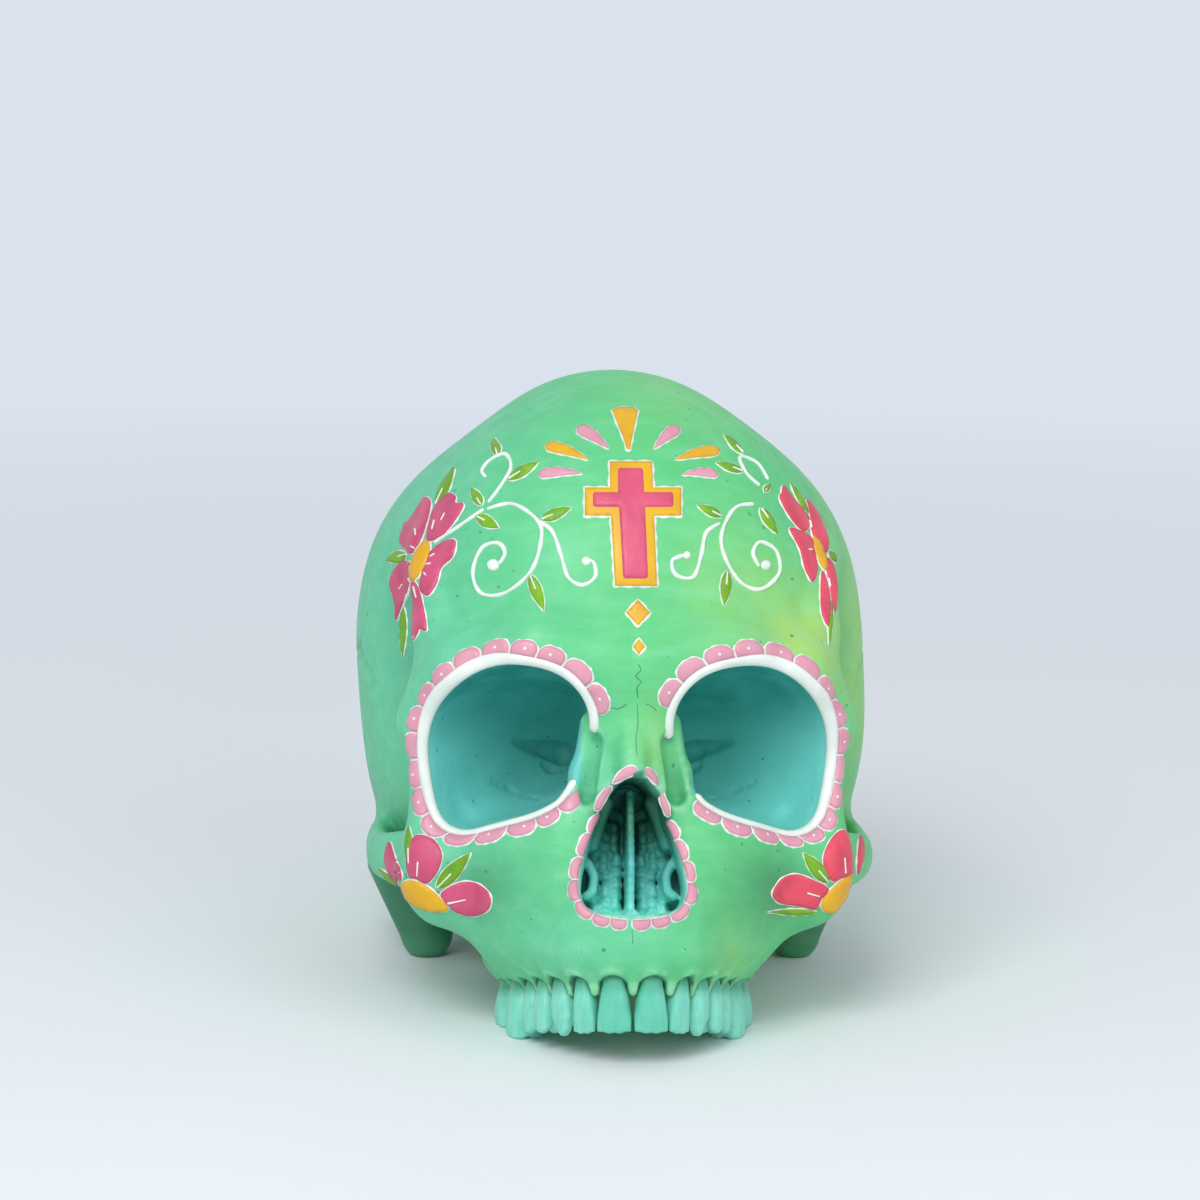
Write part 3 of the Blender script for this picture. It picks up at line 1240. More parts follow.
class Decor:
    """Thin layers and lines gathered into one piece."""

    def __init__(self, *paints):
        self.paints = list(paints)
        self.points, self.faces, self.index = [], [], []

    def put(self, points, faces, paint):
        base = len(self.points)
        self.points.extend(points)
        self.faces.extend(tuple(base + i for i in f) for f in faces)
        self.index.extend([self.paints.index(paint)] * len(faces))

    def fill(self, ring, paint, rise=0.5, step=2.4, lay=landed, base=0.04):
        """A closed layer over an outline, rising from its edge like a drop."""
        if lay is landed:
            ring = kept(ring)[0]
        flat, tris = filled(ring, step)
        inset = np.linalg.norm(flat[:, None] - ring[None], axis=2).min(1) * PER_PIXEL
        point, normal = lay(flat)
        lift = base + rise * (1 - np.exp(-inset / EDGE_ROUND))
        top = point + normal * (lift / METRE)[:, None]
        bottom = point - normal * (SUNK / METRE)
        n = len(top)
        a, b, c = (top[tris[0][k]] for k in range(3))
        if np.cross(b - a, c - a) @ normal[tris[0][0]] < 0:
            tris = [t[::-1] for t in tris]
        edges = {(i, j): True for t in tris for i, j in zip(t, t[1:] + t[:1])}
        walls = [(j, i, n + i, n + j) for i, j in edges if (j, i) not in edges]
        faces = tris + [tuple(n + i for i in t[::-1]) for t in tris] + walls
        self.put(np.concatenate([top, bottom]), faces, paint)

    def outlined(self, ring, paint, rise=0.55, border=1.8, lay=landed):
        """A layer of paint on a slightly larger layer of white."""
        self.fill(grown(ring, border), WHITE, rise * 0.55, lay=lay)
        self.fill(ring, paint, rise * 0.45, lay=lay, base=rise * 0.6)

    def strip(self, point, normal, half, rise, paint):
        """A half-round line through points on the skin, with rounded ends."""
        way = np.gradient(point, axis=0)
        side = np.cross(normal, way)
        side /= np.linalg.norm(side, axis=1)[:, None] + 1e-12
        walked = np.concatenate([[0], np.cumsum(np.linalg.norm(np.diff(point, axis=0), axis=1))])
        half = np.broadcast_to(np.asarray(half, float), len(point)) / METRE
        from_end = np.minimum(walked, walked[-1] - walked)
        taper = np.sqrt(1 - (1 - np.clip(from_end / half, 0.06, 1)) ** 2)
        m = len(LINE_ACROSS)
        rows = [point[i] + np.outer(LINE_ACROSS * half[i] * taper[i], side[i])
                + np.outer(LINE_UP * rise / METRE * taper[i], normal[i]) for i in range(len(point))]
        faces = [tuple(range(m)), tuple((len(point) - 1) * m + i for i in reversed(range(m)))]
        for i in range(len(point) - 1):
            for j in range(m):
                k = (j + 1) % m
                faces.append((i * m + j, (i + 1) * m + j, (i + 1) * m + k, i * m + k))
        self.put(np.concatenate(rows), faces, paint)

    def line(self, points, paint, half=0.52, rise=0.5):
        point, normal = landed(rounded(points, 2.2, False), LINE_FALL)
        waver = 1 + 0.16 * np.sin(np.arange(len(point)) * 0.6 + points[0][0])
        self.strip(point, normal, half * waver, rise, paint)

    def dot(self, centre, radius, paint, rise=0.6, lay=landed, base=0.04):
        angle = np.linspace(0, 2 * np.pi, 14, endpoint=False)
        ring = np.array(centre) + radius * np.stack([np.cos(angle), np.sin(angle)], 1)
        self.fill(ring, paint, rise, 1.6, lay, base)

    def leaf(self, base, tip_at, half, vein=True):
        base, tip_at = np.array(base, float), np.array(tip_at, float)
        way = tip_at - base
        side = np.array([-way[1], way[0]]) / np.linalg.norm(way)
        t = np.linspace(0, 1, 9)
        spine, width = base + np.outer(t, way), np.outer(half * np.sin(np.pi * t ** 0.8) ** 0.9, side)
        self.outlined(straight(both_sides(spine, width), 2), LEAF, 0.5, 1.0)
        if vein:
            self.line([base + way * 0.02, base + way * 0.45], WHITE, 0.28, 0.75)

    def finish(self, name, slot, *nodes):
        piece = mesh_object(name, self.points, self.faces, self.paints)
        piece.data.polygons.foreach_set("material_index", np.array(self.index, np.int32))
        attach(piece, "root")
        if nodes:
            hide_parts(*nodes)


print("layers: a liner is", round(1.8 * PER_PIXEL, 2), "mm wide round a fill")

# %% [markdown]
# ## Cross, rays and diamonds
# The cross is a yellow border with a rose inlay, each edged in white. Seven rays stand over it like a fan,
# and two diamonds run down to the root of the nose. The straight shapes are given by their corners. A ray
# is a teardrop from a formula, so that only its two ends and its breadth have to be read off the
# photograph.

# %% Cross, rays and diamonds
CROSS_BORDER = (610, 652, 462, 586, 585, 681, 488, 516)
CROSS_INLAY = (618, 643, 469, 579, 593, 673, 493, 508)
RAY_TOP = ((612, 411), (618, 408), (633, 408), (638, 411), (632, 438), (630, 450), (627, 450), (624, 440))
RAYS = (
    ("ray_upper_right", (577, 428), (609, 449), 6, BLUSH, "blush_paint"),
    ("ray_upper_left", (679, 428), (654, 449), 6, BLUSH, "blush_paint"),
    ("ray_middle_right", (545, 446), (588, 460), 5.5, YELLOW, "yellow_paint"),
    ("ray_middle_left", (720, 451), (675, 460), 5.5, YELLOW, "yellow_paint"),
    ("ray_lower_right", (538, 475), (582, 474), 4.8, BLUSH, "blush_paint"),
    ("ray_lower_left", (718, 475), (682, 475), 4.4, BLUSH, "blush_paint"),
)
DIAMONDS = (("diamond_large", (638, 613), (12, 13)), ("diamond_small", (639, 647), (6, 7.5)))


def cross_ring(left, right, top, bottom, arm_left, arm_right, arm_top, arm_bottom):
    return straight([
        (left, top), (right, top), (right + 1, arm_top), (arm_right, arm_top), (arm_right, arm_bottom),
        (right + 2, arm_bottom), (right + 5, bottom), (left + 5, bottom), (left + 1, arm_bottom),
        (arm_left, arm_bottom), (arm_left, arm_top), (left, arm_top),
    ])


def drop(head, point_at, half, bow):
    """A teardrop, widest near its head, whose middle line is bowed upward a little."""
    head, point_at = np.array(head, float), np.array(point_at, float)
    t = np.linspace(0, 1, 15)
    way = (point_at - head) / np.linalg.norm(point_at - head)
    side = np.array([-way[1], way[0]])
    spine = head + np.outer(t, point_at - head) + np.outer(bow * np.sin(np.pi * t), (0, -1))
    width = np.outer(half * np.sin(np.pi * t ** 0.55).clip(0) ** 0.75, side)
    return straight(both_sides(spine, width), 1.8)


def lay_one(name, ring, colour, slot, rise, border):
    decor = Decor(colour, WHITE)
    decor.outlined(ring, colour, rise, border)
    decor.finish(name + "_paint", slot, name)


lay_one("cross_border", cross_ring(*CROSS_BORDER), YELLOW, "yellow_paint", 0.5, 2)
lay_one("cross_inlay", cross_ring(*CROSS_INLAY), CROSS_ROSE, "rose_paint", 0.85, 2)
for name, head, point_at, half, colour, slot in RAYS:
    lay_one(name, drop(head, point_at, half, 2.5), colour, slot, 0.5, 1.0)
lay_one("ray_top", straight(RAY_TOP), YELLOW, "yellow_paint", 0.5, 1.6)
for name, (x, y), (w, h) in DIAMONDS:
    lay_one(name, straight([(x - w, y), (x, y - h), (x + w, y), (x, y + h)]), YELLOW, "yellow_paint", 0.5, 2)
print("laid: the cross,", 1 + len(RAYS), "rays and", len(DIAMONDS), "diamonds")

# %% [markdown]
# ## Scrollwork
# White lines about a millimetre wide curl from each temple toward the cross and end in dots, with small
# green leaves along them. Blender's bevelled curves would lie beside the bone and not on it, so each line
# runs through points on the skin. The two sides were painted by hand and differ a little, so each has its
# own points.

# %% Scrollwork
SCROLLS = {
    "right": {
        "lines": (
            [(487, 509), (513, 504), (538, 521), (541, 541), (531, 571), (505, 593), (481, 593), (473, 572),
             (482, 548), (498, 543), (505, 553), (499, 564)],
            [(538, 521), (552, 531), (561, 555), (568, 577), (582, 585), (595, 577), (594, 563), (587, 560)],
            [(488, 503), (502, 484), (511, 467), (505, 454), (489, 461), (482, 471), (486, 477)],
            [(434, 543), (458, 527), (484, 509)],
        ),
        "dots": ((493, 565, 6), (586, 561, 4.5)),
        "leaves": (((498, 456), (494, 438), 5), ((508, 480), (539, 462), 5), ((482, 506), (472, 488), 5),
                   ((476, 516), (499, 528), 6), ((541, 520), (571, 508), 5.5), ((530, 574), (544, 611), 6)),
    },
    "left": {
        "lines": (
            [(754, 504), (735, 508), (722, 532), (724, 555), (740, 582), (761, 589), (779, 573), (776, 551),
             (760, 542), (753, 553), (759, 567)],
            [(720, 523), (706, 533), (701, 556), (693, 577), (676, 575), (672, 561), (684, 555)],
            [(760, 486), (746, 473), (740, 457), (757, 463), (768, 480)],
        ),
        "dots": ((766, 565, 5), (687, 555, 4)),
        "leaves": (((722, 517), (697, 505), 4.5), ((727, 570), (724, 606), 5.5), ((760, 508), (777, 534), 5),
                   ((743, 472), (716, 463), 4), ((743, 454), (724, 435), 3.5), ((764, 492), (770, 484), 3)),
    },
}
for hand, parts in SCROLLS.items():
    decor = Decor(WHITE)
    for points in parts["lines"]:
        decor.line(points, WHITE)
    for x, y, r in parts["dots"]:
        decor.dot((x, y), r, WHITE)
    decor.finish(f"scrollwork_{hand}_paint", "white_paint", f"scrollwork_{hand}")
    decor = Decor(LEAF, WHITE)
    for base, tip_at, half in parts["leaves"]:
        decor.leaf(base, tip_at, half)
    decor.finish(f"scroll_leaves_{hand}", None)
print("scrolls:", {hand: len(parts["lines"]) for hand, parts in SCROLLS.items()})

# %% [markdown]
# ## Flowers
# Each flower is a ring of notched petals round a yellow eye, edged in white, with short white strokes from
# the eye and a few leaves. One petal turned round the eye would be quicker, but the flowers lie on curved
# bone and are seen at a slant, so every petal has its own few points. A cheek flower has only its upper
# petals, because the bone ends below it.

# %% Flower outlines


def oval(centre, long_half, short_half, way):
    way = np.array(way, float) / np.linalg.norm(way)
    side = np.array([-way[1], way[0]])
    angle = np.linspace(0, 2 * np.pi, 26, endpoint=False)
    along, across = np.outer(long_half * np.cos(angle), way), np.outer(short_half * np.sin(angle), side)
    return np.array(centre) + along + across


FOREHEAD_FLOWERS = {
    "forehead_flower_right": {
        "paint": ROSE,
        "petals": (
            [(427, 537), (434, 509), (447, 494), (456, 496), (456, 503), (464, 504), (459, 516),
             (444, 535), (433, 541)],
            [(422, 539), (430, 513), (431, 501), (424, 498), (412, 517), (402, 527), (399, 540),
             (411, 554), (417, 547)],
            [(431, 552), (445, 541), (456, 541), (453, 557), (442, 568), (437, 584), (428, 596),
             (420, 588), (424, 567)],
            [(410, 562), (399, 564), (390, 582), (395, 602), (396, 620), (400, 612), (407, 595), (410, 581)],
            [(412, 583), (407, 606), (406, 626), (412, 641), (418, 634), (420, 629), (427, 630),
             (424, 607), (418, 586)],
        ),
        "eye": oval((420, 561), 21.5, 7.2, (0.39, -0.92)),
        "strokes": (
            [(433, 531), (436, 520)], [(442, 522), (447, 513)], [(416, 528), (417, 537)],
            [(411, 546), (416, 549)], [(430, 558), (437, 554)], [(426, 565), (433, 564)],
            [(424, 572), (428, 577)], [(400, 590), (405, 583)], [(406, 602), (409, 593)],
            [(415, 586), (418, 599)],
        ),
        "leaves": (((436, 506), (455, 467), 5), ((407, 554), (387, 561), 6), ((404, 607), (403, 656), 3.4)),
    },
    "forehead_flower_left": {
        "paint": CORAL,
        "petals": (
            [(806, 531), (809, 519), (792, 497), (783, 486), (781, 493), (779, 498), (787, 514), (799, 529)],
            [(812, 535), (809, 512), (806, 500), (813, 506), (821, 519), (828, 540), (826, 553), (819, 545)],
            [(811, 538), (800, 531), (789, 529), (799, 549), (804, 568), (812, 582), (817, 570), (814, 550)],
            [(827, 558), (833, 566), (837, 585), (835, 612), (832, 605), (829, 587), (826, 570)],
            [(821, 572), (820, 596), (822, 616), (828, 626), (830, 608), (828, 588), (825, 577)],
        ),
        "eye": oval((819.5, 553.5), 18, 4.3, (0.33, 0.944)),
        "strokes": ([(806, 550), (812, 550)], [(810, 529), (808, 520)], [(827, 578), (829, 588)]),
        "leaves": (((808, 513), (790, 483), 2.8), ((829, 551), (836, 563), 3), ((831, 599), (829, 645), 2)),
    },
}
print("forehead petals:", [len(parts["petals"]) for parts in FOREHEAD_FLOWERS.values()])

# %% Cheek flowers and laying
RIGHT_EYE = [(402, 885), (410, 880), (424, 884), (439, 896), (448, 909), (432, 911), (413, 904), (404, 894)]
LEFT_EYE = [(822, 909), (823, 898), (837, 883), (853, 873), (856, 881), (845, 899), (833, 912)]
CHEEK_FLOWERS = {
    "cheek_flower_right": {
        "paint": ROSE,
        "petals": (
            [(409, 875), (407, 855), (413, 839), (421, 835), (435, 841), (442, 854), (439, 869),
             (428, 883), (417, 879)],
            [(441, 896), (444, 890), (460, 882), (477, 883), (490, 894), (490, 908), (477, 916),
             (458, 913), (448, 905)],
            [(396, 883), (387, 869), (385, 855), (390, 842), (396, 858), (402, 874), (401, 881)],
        ),
        "eye": rounded(RIGHT_EYE, 2),
        "strokes": ([(418, 877), (419, 861)], [(447, 903), (467, 899)]),
        "leaves": (((410, 865), (409, 826), 4.4), ((436, 889), (471, 853), 7.5), ((400, 889), (379, 868), 3)),
    },
    "cheek_flower_left": {
        "paint": CORAL,
        "petals": (
            [(828, 888), (809, 878), (796, 874), (782, 878), (772, 893), (779, 903), (800, 906),
             (815, 909), (821, 899)],
            [(832, 881), (824, 868), (824, 853), (833, 836), (843, 830), (851, 838), (855, 855),
             (854, 872), (841, 878)],
            [(857, 874), (857, 856), (860, 834), (864, 850), (861, 866)],
        ),
        "eye": rounded(LEFT_EYE, 2),
        "strokes": ([(844, 874), (843, 857)], [(820, 896), (806, 892)]),
        "leaves": (((829, 883), (803, 853), 7), ((817, 912), (768, 912), 3.2)),
    },
}
VEINED_LEAF = 4
for name, parts in {**FOREHEAD_FLOWERS, **CHEEK_FLOWERS}.items():
    place, hand = name.rsplit("_", 1)
    decor = Decor(parts["paint"], WHITE)
    for petal in parts["petals"]:
        decor.outlined(rounded(petal, 2), parts["paint"], 0.55, 1.0)
    for stroke in parts["strokes"]:
        decor.line(stroke, WHITE, 0.3, 0.85)
    decor.finish(name + "_paint", "rose_paint", name)
    lay_one(f"{place}_eye_{hand}", parts["eye"], YELLOW, "yellow_paint", 0.8, 1.2)
    decor = Decor(LEAF, WHITE)
    for base, tip_at, half in parts["leaves"]:
        decor.leaf(base, tip_at, half, half > VEINED_LEAF)
    decor.finish(f"{place}_leaves_{hand}", None)
print("flowers:", len(FOREHEAD_FLOWERS) + len(CHEEK_FLOWERS))

# %% [markdown]
# ## A strip of skin along a rim
# A white bead runs round each eye socket and is open toward the nose. Pink scallops stand outside it and
# round the nose opening. They follow the rims of the bone, which turn away from the camera, so rays alone
# would miss them. Instead a strip of skin is walked outward from the edge of each hollow, and paint is
# placed on it by millimetres along the edge and millimetres out from it.

# %% Rim


def evened(values, passes):
    """Values round a ring, each drawn toward its two neighbours."""
    values = np.array(values)
    for _ in range(passes):
        values = (np.roll(values, 1, 0) + 2 * values + np.roll(values, -1, 0)) / 4
    return values


class Rim:
    """A strip of skin along the edge of a hollow, measured in millimetres along it and outward."""

    STEP, REACH = 0.5, 18

    def __init__(self, edge, outward):
        count = len(edge)
        self.points, self.normals = np.zeros((count, self.REACH, 3)), np.zeros((count, self.REACH, 3))
        for i in range(count):
            spot, away = Vector(edge[i]), outward[i]
            for k in range(self.REACH):
                found, normal = self.settle(i, k, spot)
                slide = away - normal * (away @ normal)
                spot = found + Vector(slide / np.linalg.norm(slide)) * self.STEP / METRE
        self.points, self.normals = evened(self.points, 30), evened(self.normals, 30)
        for i, k in np.ndindex(count, self.REACH):
            self.settle(i, k, Vector(self.points[i, k]))
        self.points, self.normals = evened(self.points, 4), evened(self.normals, 4)
        ring = self.points[:, 4]
        lengths = np.linalg.norm(np.roll(ring, -1, 0) - ring, axis=1) * METRE
        self.along = np.concatenate([[0], np.cumsum(lengths)])
        self.length = self.along[-1]

    def settle(self, i, k, spot):
        """Keep the place on the skin that is nearest to a spot."""
        found, _, face, _ = skin_tree.find_nearest(spot)
        self.points[i, k], self.normals[i, k] = found, smooth_normal(found, face)
        return found, self.normals[i, k]

    def lay(self, places):
        """Points and normals on the skin for places given in quarter millimetres."""
        along, out = places[:, 0] * PER_PIXEL % self.length, places[:, 1] * PER_PIXEL / self.STEP
        i = np.interp(along, self.along, np.arange(len(self.along)))
        k = np.clip(out, 0, self.REACH - 1.01)
        i0, k0 = i.astype(int) % len(self.points), k.astype(int)
        i1, along_part, out_part = (i0 + 1) % len(self.points), (i % 1)[:, None], (k % 1)[:, None]
        mixed = []
        for field in (self.points, self.normals):
            near = field[i0, k0] * (1 - out_part) + field[i0, k0 + 1] * out_part
            far = field[i1, k0] * (1 - out_part) + field[i1, k0 + 1] * out_part
            mixed.append(near * (1 - along_part) + far * along_part)
        mixed[1] /= np.linalg.norm(mixed[1], axis=1)[:, None]
        return mixed

    def near(self, pixel, out):
        """How far along the edge a pixel of the photograph lies."""
        seen_at = pixel_of(self.points[:, int(out / self.STEP)])
        return self.along[int(np.linalg.norm(seen_at - np.array(pixel), axis=1).argmin())]


def rim_at(edge, away, side):
    """The strip along an edge of the ear-eye frame, on either side of the face."""
    edge, away = edge * (side, 1, 1), away * (side, 1, 1)
    away = away / np.linalg.norm(away, axis=1)[:, None]
    spots = to_table(edge)
    return Rim(spots, (to_table(edge + away) - spots) * METRE)


eye_rims = {"right": rim_at(*socket_curve(), -1), "left": rim_at(*socket_curve(), 1)}
print("socket rims:", {hand: round(rim.length, 1) for hand, rim in eye_rims.items()}, "mm")

# %% [markdown]
# ## Beads and scallops of the sockets
# The bead is a thick white line that widens toward the temple. The scallops are round pink lobes with a
# white edge, most of them with a white dot. Copies of one lobe along a curve would all be equal, so each
# lobe takes its middle from the photograph and its width from the way to its neighbours.

# %% Beads and scallops of the sockets
SOCKETS = {
    "right": {
        "centre": (509, 745), "side": -1, "bead": ((603, 734), (425, 747), (588, 791)),
        "spots": ((599, 698), (579, 670), (553, 653), (525, 650), (498, 653), (469, 661), (444, 674),
                  (424, 693), (411, 716), (411, 744), (414, 776), (420, 801), (436, 822), (461, 830),
                  (490, 830), (524, 827), (548, 818), (574, 805)),
    },
    "left": {
        "centre": (757, 748), "side": 1, "bead": ((677, 736), (831, 745), (694, 795)),
        "spots": ((674, 697), (690, 669), (718, 653), (747, 651), (778, 657), (804, 670), (830, 687),
                  (842, 713), (844, 742), (841, 770), (835, 795), (826, 819), (811, 834), (791, 837),
                  (764, 837), (735, 827), (705, 813)),
    },
}
BEAD_ANGLES, BEAD_WIDTHS = (0, 40, 90, 140, 180, 230, 270, 330, 360), (8, 9, 10, 13, 9, 8, 7, 6, 8)
SOCKET_SCALLOP, NOSE_SCALLOP = (2.5, 3.7), (1.0, 2.4)


def scallops(decor, rim, spots, base, size, dots):
    """Lobes along a rim, in the order of the spots, each as wide as the way to its neighbours."""
    places = np.unwrap([rim.near(s, base + size / 2) for s in spots], period=rim.length)
    first, last = 1.5 * places[0] - 0.5 * places[1], 1.5 * places[-1] - 0.5 * places[-2]
    borders = np.concatenate([[first], (places[1:] + places[:-1]) / 2, [last]])
    for i, middle in enumerate(places):
        v = np.linspace(-0.92, 0.92, 15)
        along = np.interp(v, (-1, 0, 1), (borders[i], middle, borders[i + 1]))
        outer = np.stack([along, base + size * (1 - np.abs(v) ** 2.8) ** 0.45], 1)
        inner = np.stack([along[::-2], np.full(8, base)], 1)
        decor.outlined(straight(np.concatenate([outer, inner]) / PER_PIXEL, 2), BLUSH, 0.6, 1.6, rim.lay)
        if dots and i % 4 != 1:
            decor.dot(np.array([middle, base + size * 0.45]) / PER_PIXEL, 2.0, WHITE, 0.35, rim.lay, 0.55)


def bead(rim, ends, centre, side):
    """The white bead from its first end past a middle place to its last end, wider toward the temple."""
    first, middle, last = (rim.near(p, 1) for p in ends)
    forwards = (middle - first) % rim.length < (last - first) % rim.length
    way = (last - first) % rim.length if forwards else -((first - last) % rim.length)
    along = first + np.linspace(0, 1, 150) * way
    off = pixel_of(rim.lay(np.stack([along, along * 0], 1) / PER_PIXEL)[0]) - np.array(centre)
    angle = np.degrees(np.arctan2(-off[:, 1], -side * off[:, 0])) % 360
    wide = np.interp(angle, BEAD_ANGLES, BEAD_WIDTHS) * PER_PIXEL
    point, normal = rim.lay(np.stack([along, wide / 2 - 0.2], 1) / PER_PIXEL)
    decor = Decor(WHITE)
    decor.strip(point, normal, wide / 2 + 0.35, 0.9, WHITE)
    return decor


for hand, parts in SOCKETS.items():
    decor = bead(eye_rims[hand], parts["bead"], parts["centre"], parts["side"])
    decor.finish(f"orbit_rim_{hand}_paint", "white_paint", f"orbit_rim_{hand}")
    decor = Decor(BLUSH, WHITE)
    scallops(decor, eye_rims[hand], parts["spots"], *SOCKET_SCALLOP, True)
    decor.finish(f"orbit_scallops_{hand}_paint", "blush_paint", f"orbit_scallops_{hand}")
print("socket scallops:", {hand: len(parts["spots"]) for hand, parts in SOCKETS.items()})

# %% [markdown]
# ## Scallops of the nose
# The pear-shaped opening has the same trim, smaller and without dots. Its edge is found where the opening
# leaves the bone. The two top lobes on each side span the valley beside the nasal bones, where paint laid
# on the skin would dip and break, so those lie on the plane of the nearer bone.

# %% Scallops of the nose
NOSE_MIDDLE = -6
NOSE_TRIM = {
    "right": {
        "lobes": (((613, 783), (619, 773), (627, 767), (635, 767), (636, 772), (630, 776), (622, 780)),
                  ((610, 786), (611, 790), (605, 800), (600, 809), (595, 809), (596, 802), (602, 792))),
        "spots": ((592, 822), (583, 844), (576, 868), (575, 891), (581, 915), (602, 921), (620, 921)),
    },
    "left": {
        "lobes": (((641, 771), (648, 768), (654, 772), (657, 779), (657, 785), (652, 781), (647, 776)),
                  ((659, 790), (663, 793), (668, 804), (670, 815), (666, 815), (661, 804))),
        "spots": ((674, 828), (682, 850), (690, 872), (690, 894), (680, 914), (660, 922), (642, 921)),
    },
}


def nose_edge():
    """Where the nasal opening leaves the bone, all the way round, and the way outward."""
    radius = np.arange(2, 30, 0.1)
    flat = []
    for a in np.linspace(0, 2 * np.pi, 160, endpoint=False):
        x, z = radius * math.cos(a), NOSE_MIDDLE + radius * math.sin(a)
        last = np.argmin((np.abs(x) < nose_half(z)) & (z > NOSE_FLOOR) & (z < NOSE_TOP))
        flat.append((x[last], z[last]))
    flat = evened(flat, 2)
    way = np.roll(flat, -1, 0) - np.roll(flat, 1, 0)
    away = np.stack([way[:, 1], np.zeros(len(way)), -way[:, 0]], 1)
    depths = np.arange(-104, -60, 0.2)
    start = []
    for x, z in flat:
        line = np.stack([np.full(len(depths), x), depths, np.full(len(depths), z)], 1)
        start.append(depths[np.argmax(sample(solid_form, line) < 0)])
    return np.stack([flat[:, 0], evened(start, 4), flat[:, 1]], 1), away


nose_rim = rim_at(*nose_edge(), 1)
for hand, parts in NOSE_TRIM.items():
    decor = Decor(BLUSH, WHITE)
    for ring in parts["lobes"]:
        decor.outlined(rounded(ring, 2), BLUSH, 0.6, 1.4, bridge(ring))
    scallops(decor, nose_rim, parts["spots"], *NOSE_SCALLOP, False)
    decor.finish(f"nasal_scallops_{hand}_paint", "blush_paint", f"nasal_scallops_{hand}")
print("nose rim:", round(nose_rim.length, 1), "mm")

# %% [markdown]
# ## Suture marks
# A few bone joints still show through the paint above and below the nose, as thin dark lines. They are far
# too fine to model as gaps, so they are drawn like the scrolls, in a shade of the skin and almost flat.

# %% Suture marks
SUTURE_MARKS = (
    ([(638, 664), (641, 670), (636, 676), (641, 682), (637, 688), (638, 698)], 0.13),
    ([(604, 713), (611, 708), (618, 709), (627, 704)], 0.15),
    ([(645, 704), (651, 706), (657, 711)], 0.1),
    ([(637, 704), (638, 722), (636, 740), (637, 757)], 0.1),
    ([(632, 930), (633, 944)], 0.09),
)
INK = brushed("suture_shade", "45956f", "2f7355", 0.6)
decor = Decor(INK)
for points, half in SUTURE_MARKS:
    decor.line(points, INK, half, 0.05)
decor.finish("suture_marks", "mint_paint")
print("suture marks:", len(SUTURE_MARKS))

# %% [markdown]
# ## Stage and light
# The skull was photographed on a pale table in soft light. A curved backdrop would hide it from behind, so
# there is only a flat floor, which keeps the shadow near the skull and fades to the backdrop's colour
# farther out. The fade uses Light Path: it is seen, also in reflections, but throws no light on the skull.

# %% Floor
BACKDROP = (0.70, 0.765, 0.85, 1)
FLOOR_TONES, FLOOR_HALF, FADE_FROM, FADE_TO = ((0.83, 0.86, 0.90, 1), (0.87, 0.89, 0.92, 1)), 9, 0.25, 1.1


def shown(tree):
    """1 for rays that only show the backdrop: those of the camera, of reflections and through glass."""
    rays = tree.nodes.new("ShaderNodeLightPath")
    seen_by = rays.outputs["Is Camera Ray"]
    for kind in ("Is Glossy Ray", "Is Transmission Ray"):
        node = tree.nodes.new("ShaderNodeMath")
        node.operation = "MAXIMUM"
        tree.links.new(seen_by, node.inputs[0])
        tree.links.new(rays.outputs[kind], node.inputs[1])
        seen_by = node.outputs["Value"]
    return seen_by


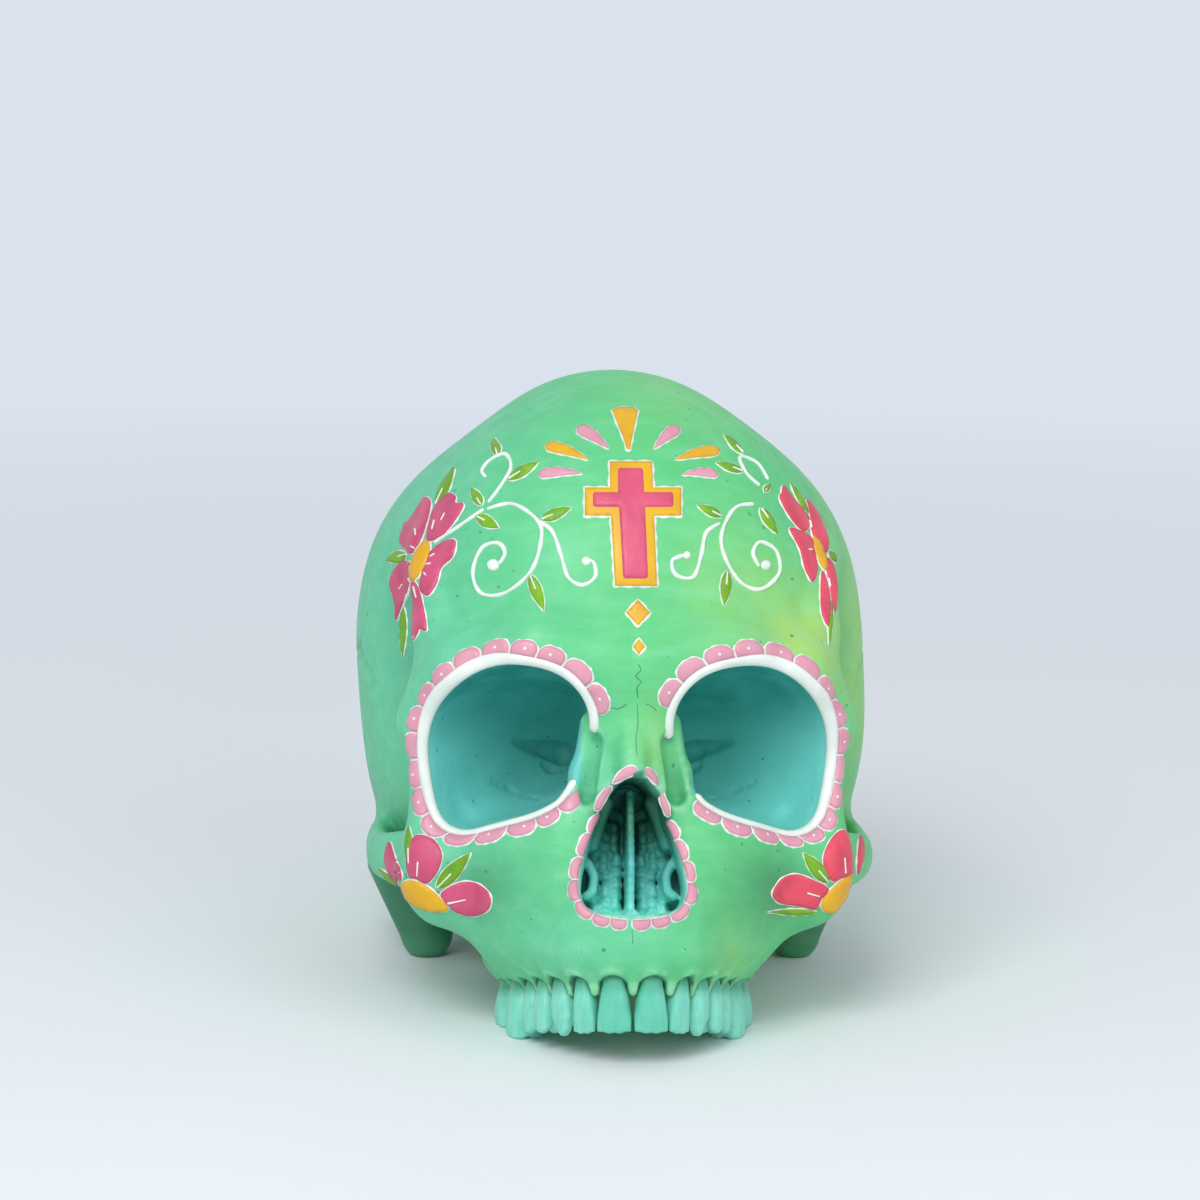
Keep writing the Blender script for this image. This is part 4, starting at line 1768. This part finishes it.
paint = Paint("pale_floor", 0.7)
paint.done(paint.mix(paint.spread(paint.noise(3, 3), 0.3, 0.7), *FLOOR_TONES))
away = paint.tree.nodes.new("ShaderNodeVectorMath")
away.operation = "LENGTH"
paint.link(paint.place, away.inputs[0])
pale = paint.tree.nodes.new("ShaderNodeEmission")
pale.inputs["Color"].default_value = BACKDROP
fade = paint.tree.nodes.new("ShaderNodeMixShader")
fade_share = paint.spread(away.outputs["Value"], FADE_FROM, FADE_TO)
paint.link(paint.times(fade_share, shown(paint.tree)), fade.inputs["Fac"])
paint.link(paint.shader.outputs["BSDF"], fade.inputs[1])
paint.link(pale.outputs["Emission"], fade.inputs[2])
paint.link(fade.outputs["Shader"], paint.tree.nodes["Material Output"].inputs["Surface"])
floor_corners = [(x * FLOOR_HALF, y * FLOOR_HALF, 0) for x, y in ((-1, -1), (1, -1), (1, 1), (-1, 1))]
floor = mesh_object("floor", floor_corners, [(0, 1, 2, 3)], [paint.material])
print("floor: fades between", FADE_FROM, "and", FADE_TO, "m")

# %% [markdown]
# ## Lamps and sky
# The light in the photograph is soft and comes mostly from the upper left of the picture. Two large area
# lamps and an even sky give it: small lamps would draw hard shadows in the sockets, and a sky alone would
# leave the face flat. The sky shows the backdrop's colour to the camera, and its own weaker light to the
# skull.

# %% Lamps and sky
LAMPS = (("key", (-0.5, -1.2, 1.3), 0.9, 16.5), ("fill", (0.9, -1.2, 0.9), 1.2, 6))
LIT_PLACE, SKY = Vector((0, 0, 0.08)), (0.495, 0.5225, 0.55, 1)

for name, place, size, power in LAMPS:
    lamp = bpy.data.lights.new(name, "AREA")
    lamp.size = size
    lamp.energy = power
    holder = bpy.data.objects.new(name, lamp)
    scene.collection.objects.link(holder)
    holder.location = place
    holder.rotation_mode = "QUATERNION"
    holder.rotation_quaternion = (LIT_PLACE - Vector(place)).to_track_quat("-Z", "Y")

world = bpy.data.worlds.new("sky")
scene.world = world
world.use_nodes = True
mixer = world.node_tree.nodes.new("ShaderNodeMix")
mixer.data_type = "RGBA"
world.node_tree.links.new(shown(world.node_tree), mixer.inputs[0])
mixer.inputs[6].default_value = SKY
mixer.inputs[7].default_value = BACKDROP
world.node_tree.links.new(mixer.outputs[2], world.node_tree.nodes["Background"].inputs["Color"])
scene.view_settings.view_transform = "Standard"
print("lamps:", len(bpy.data.lights))
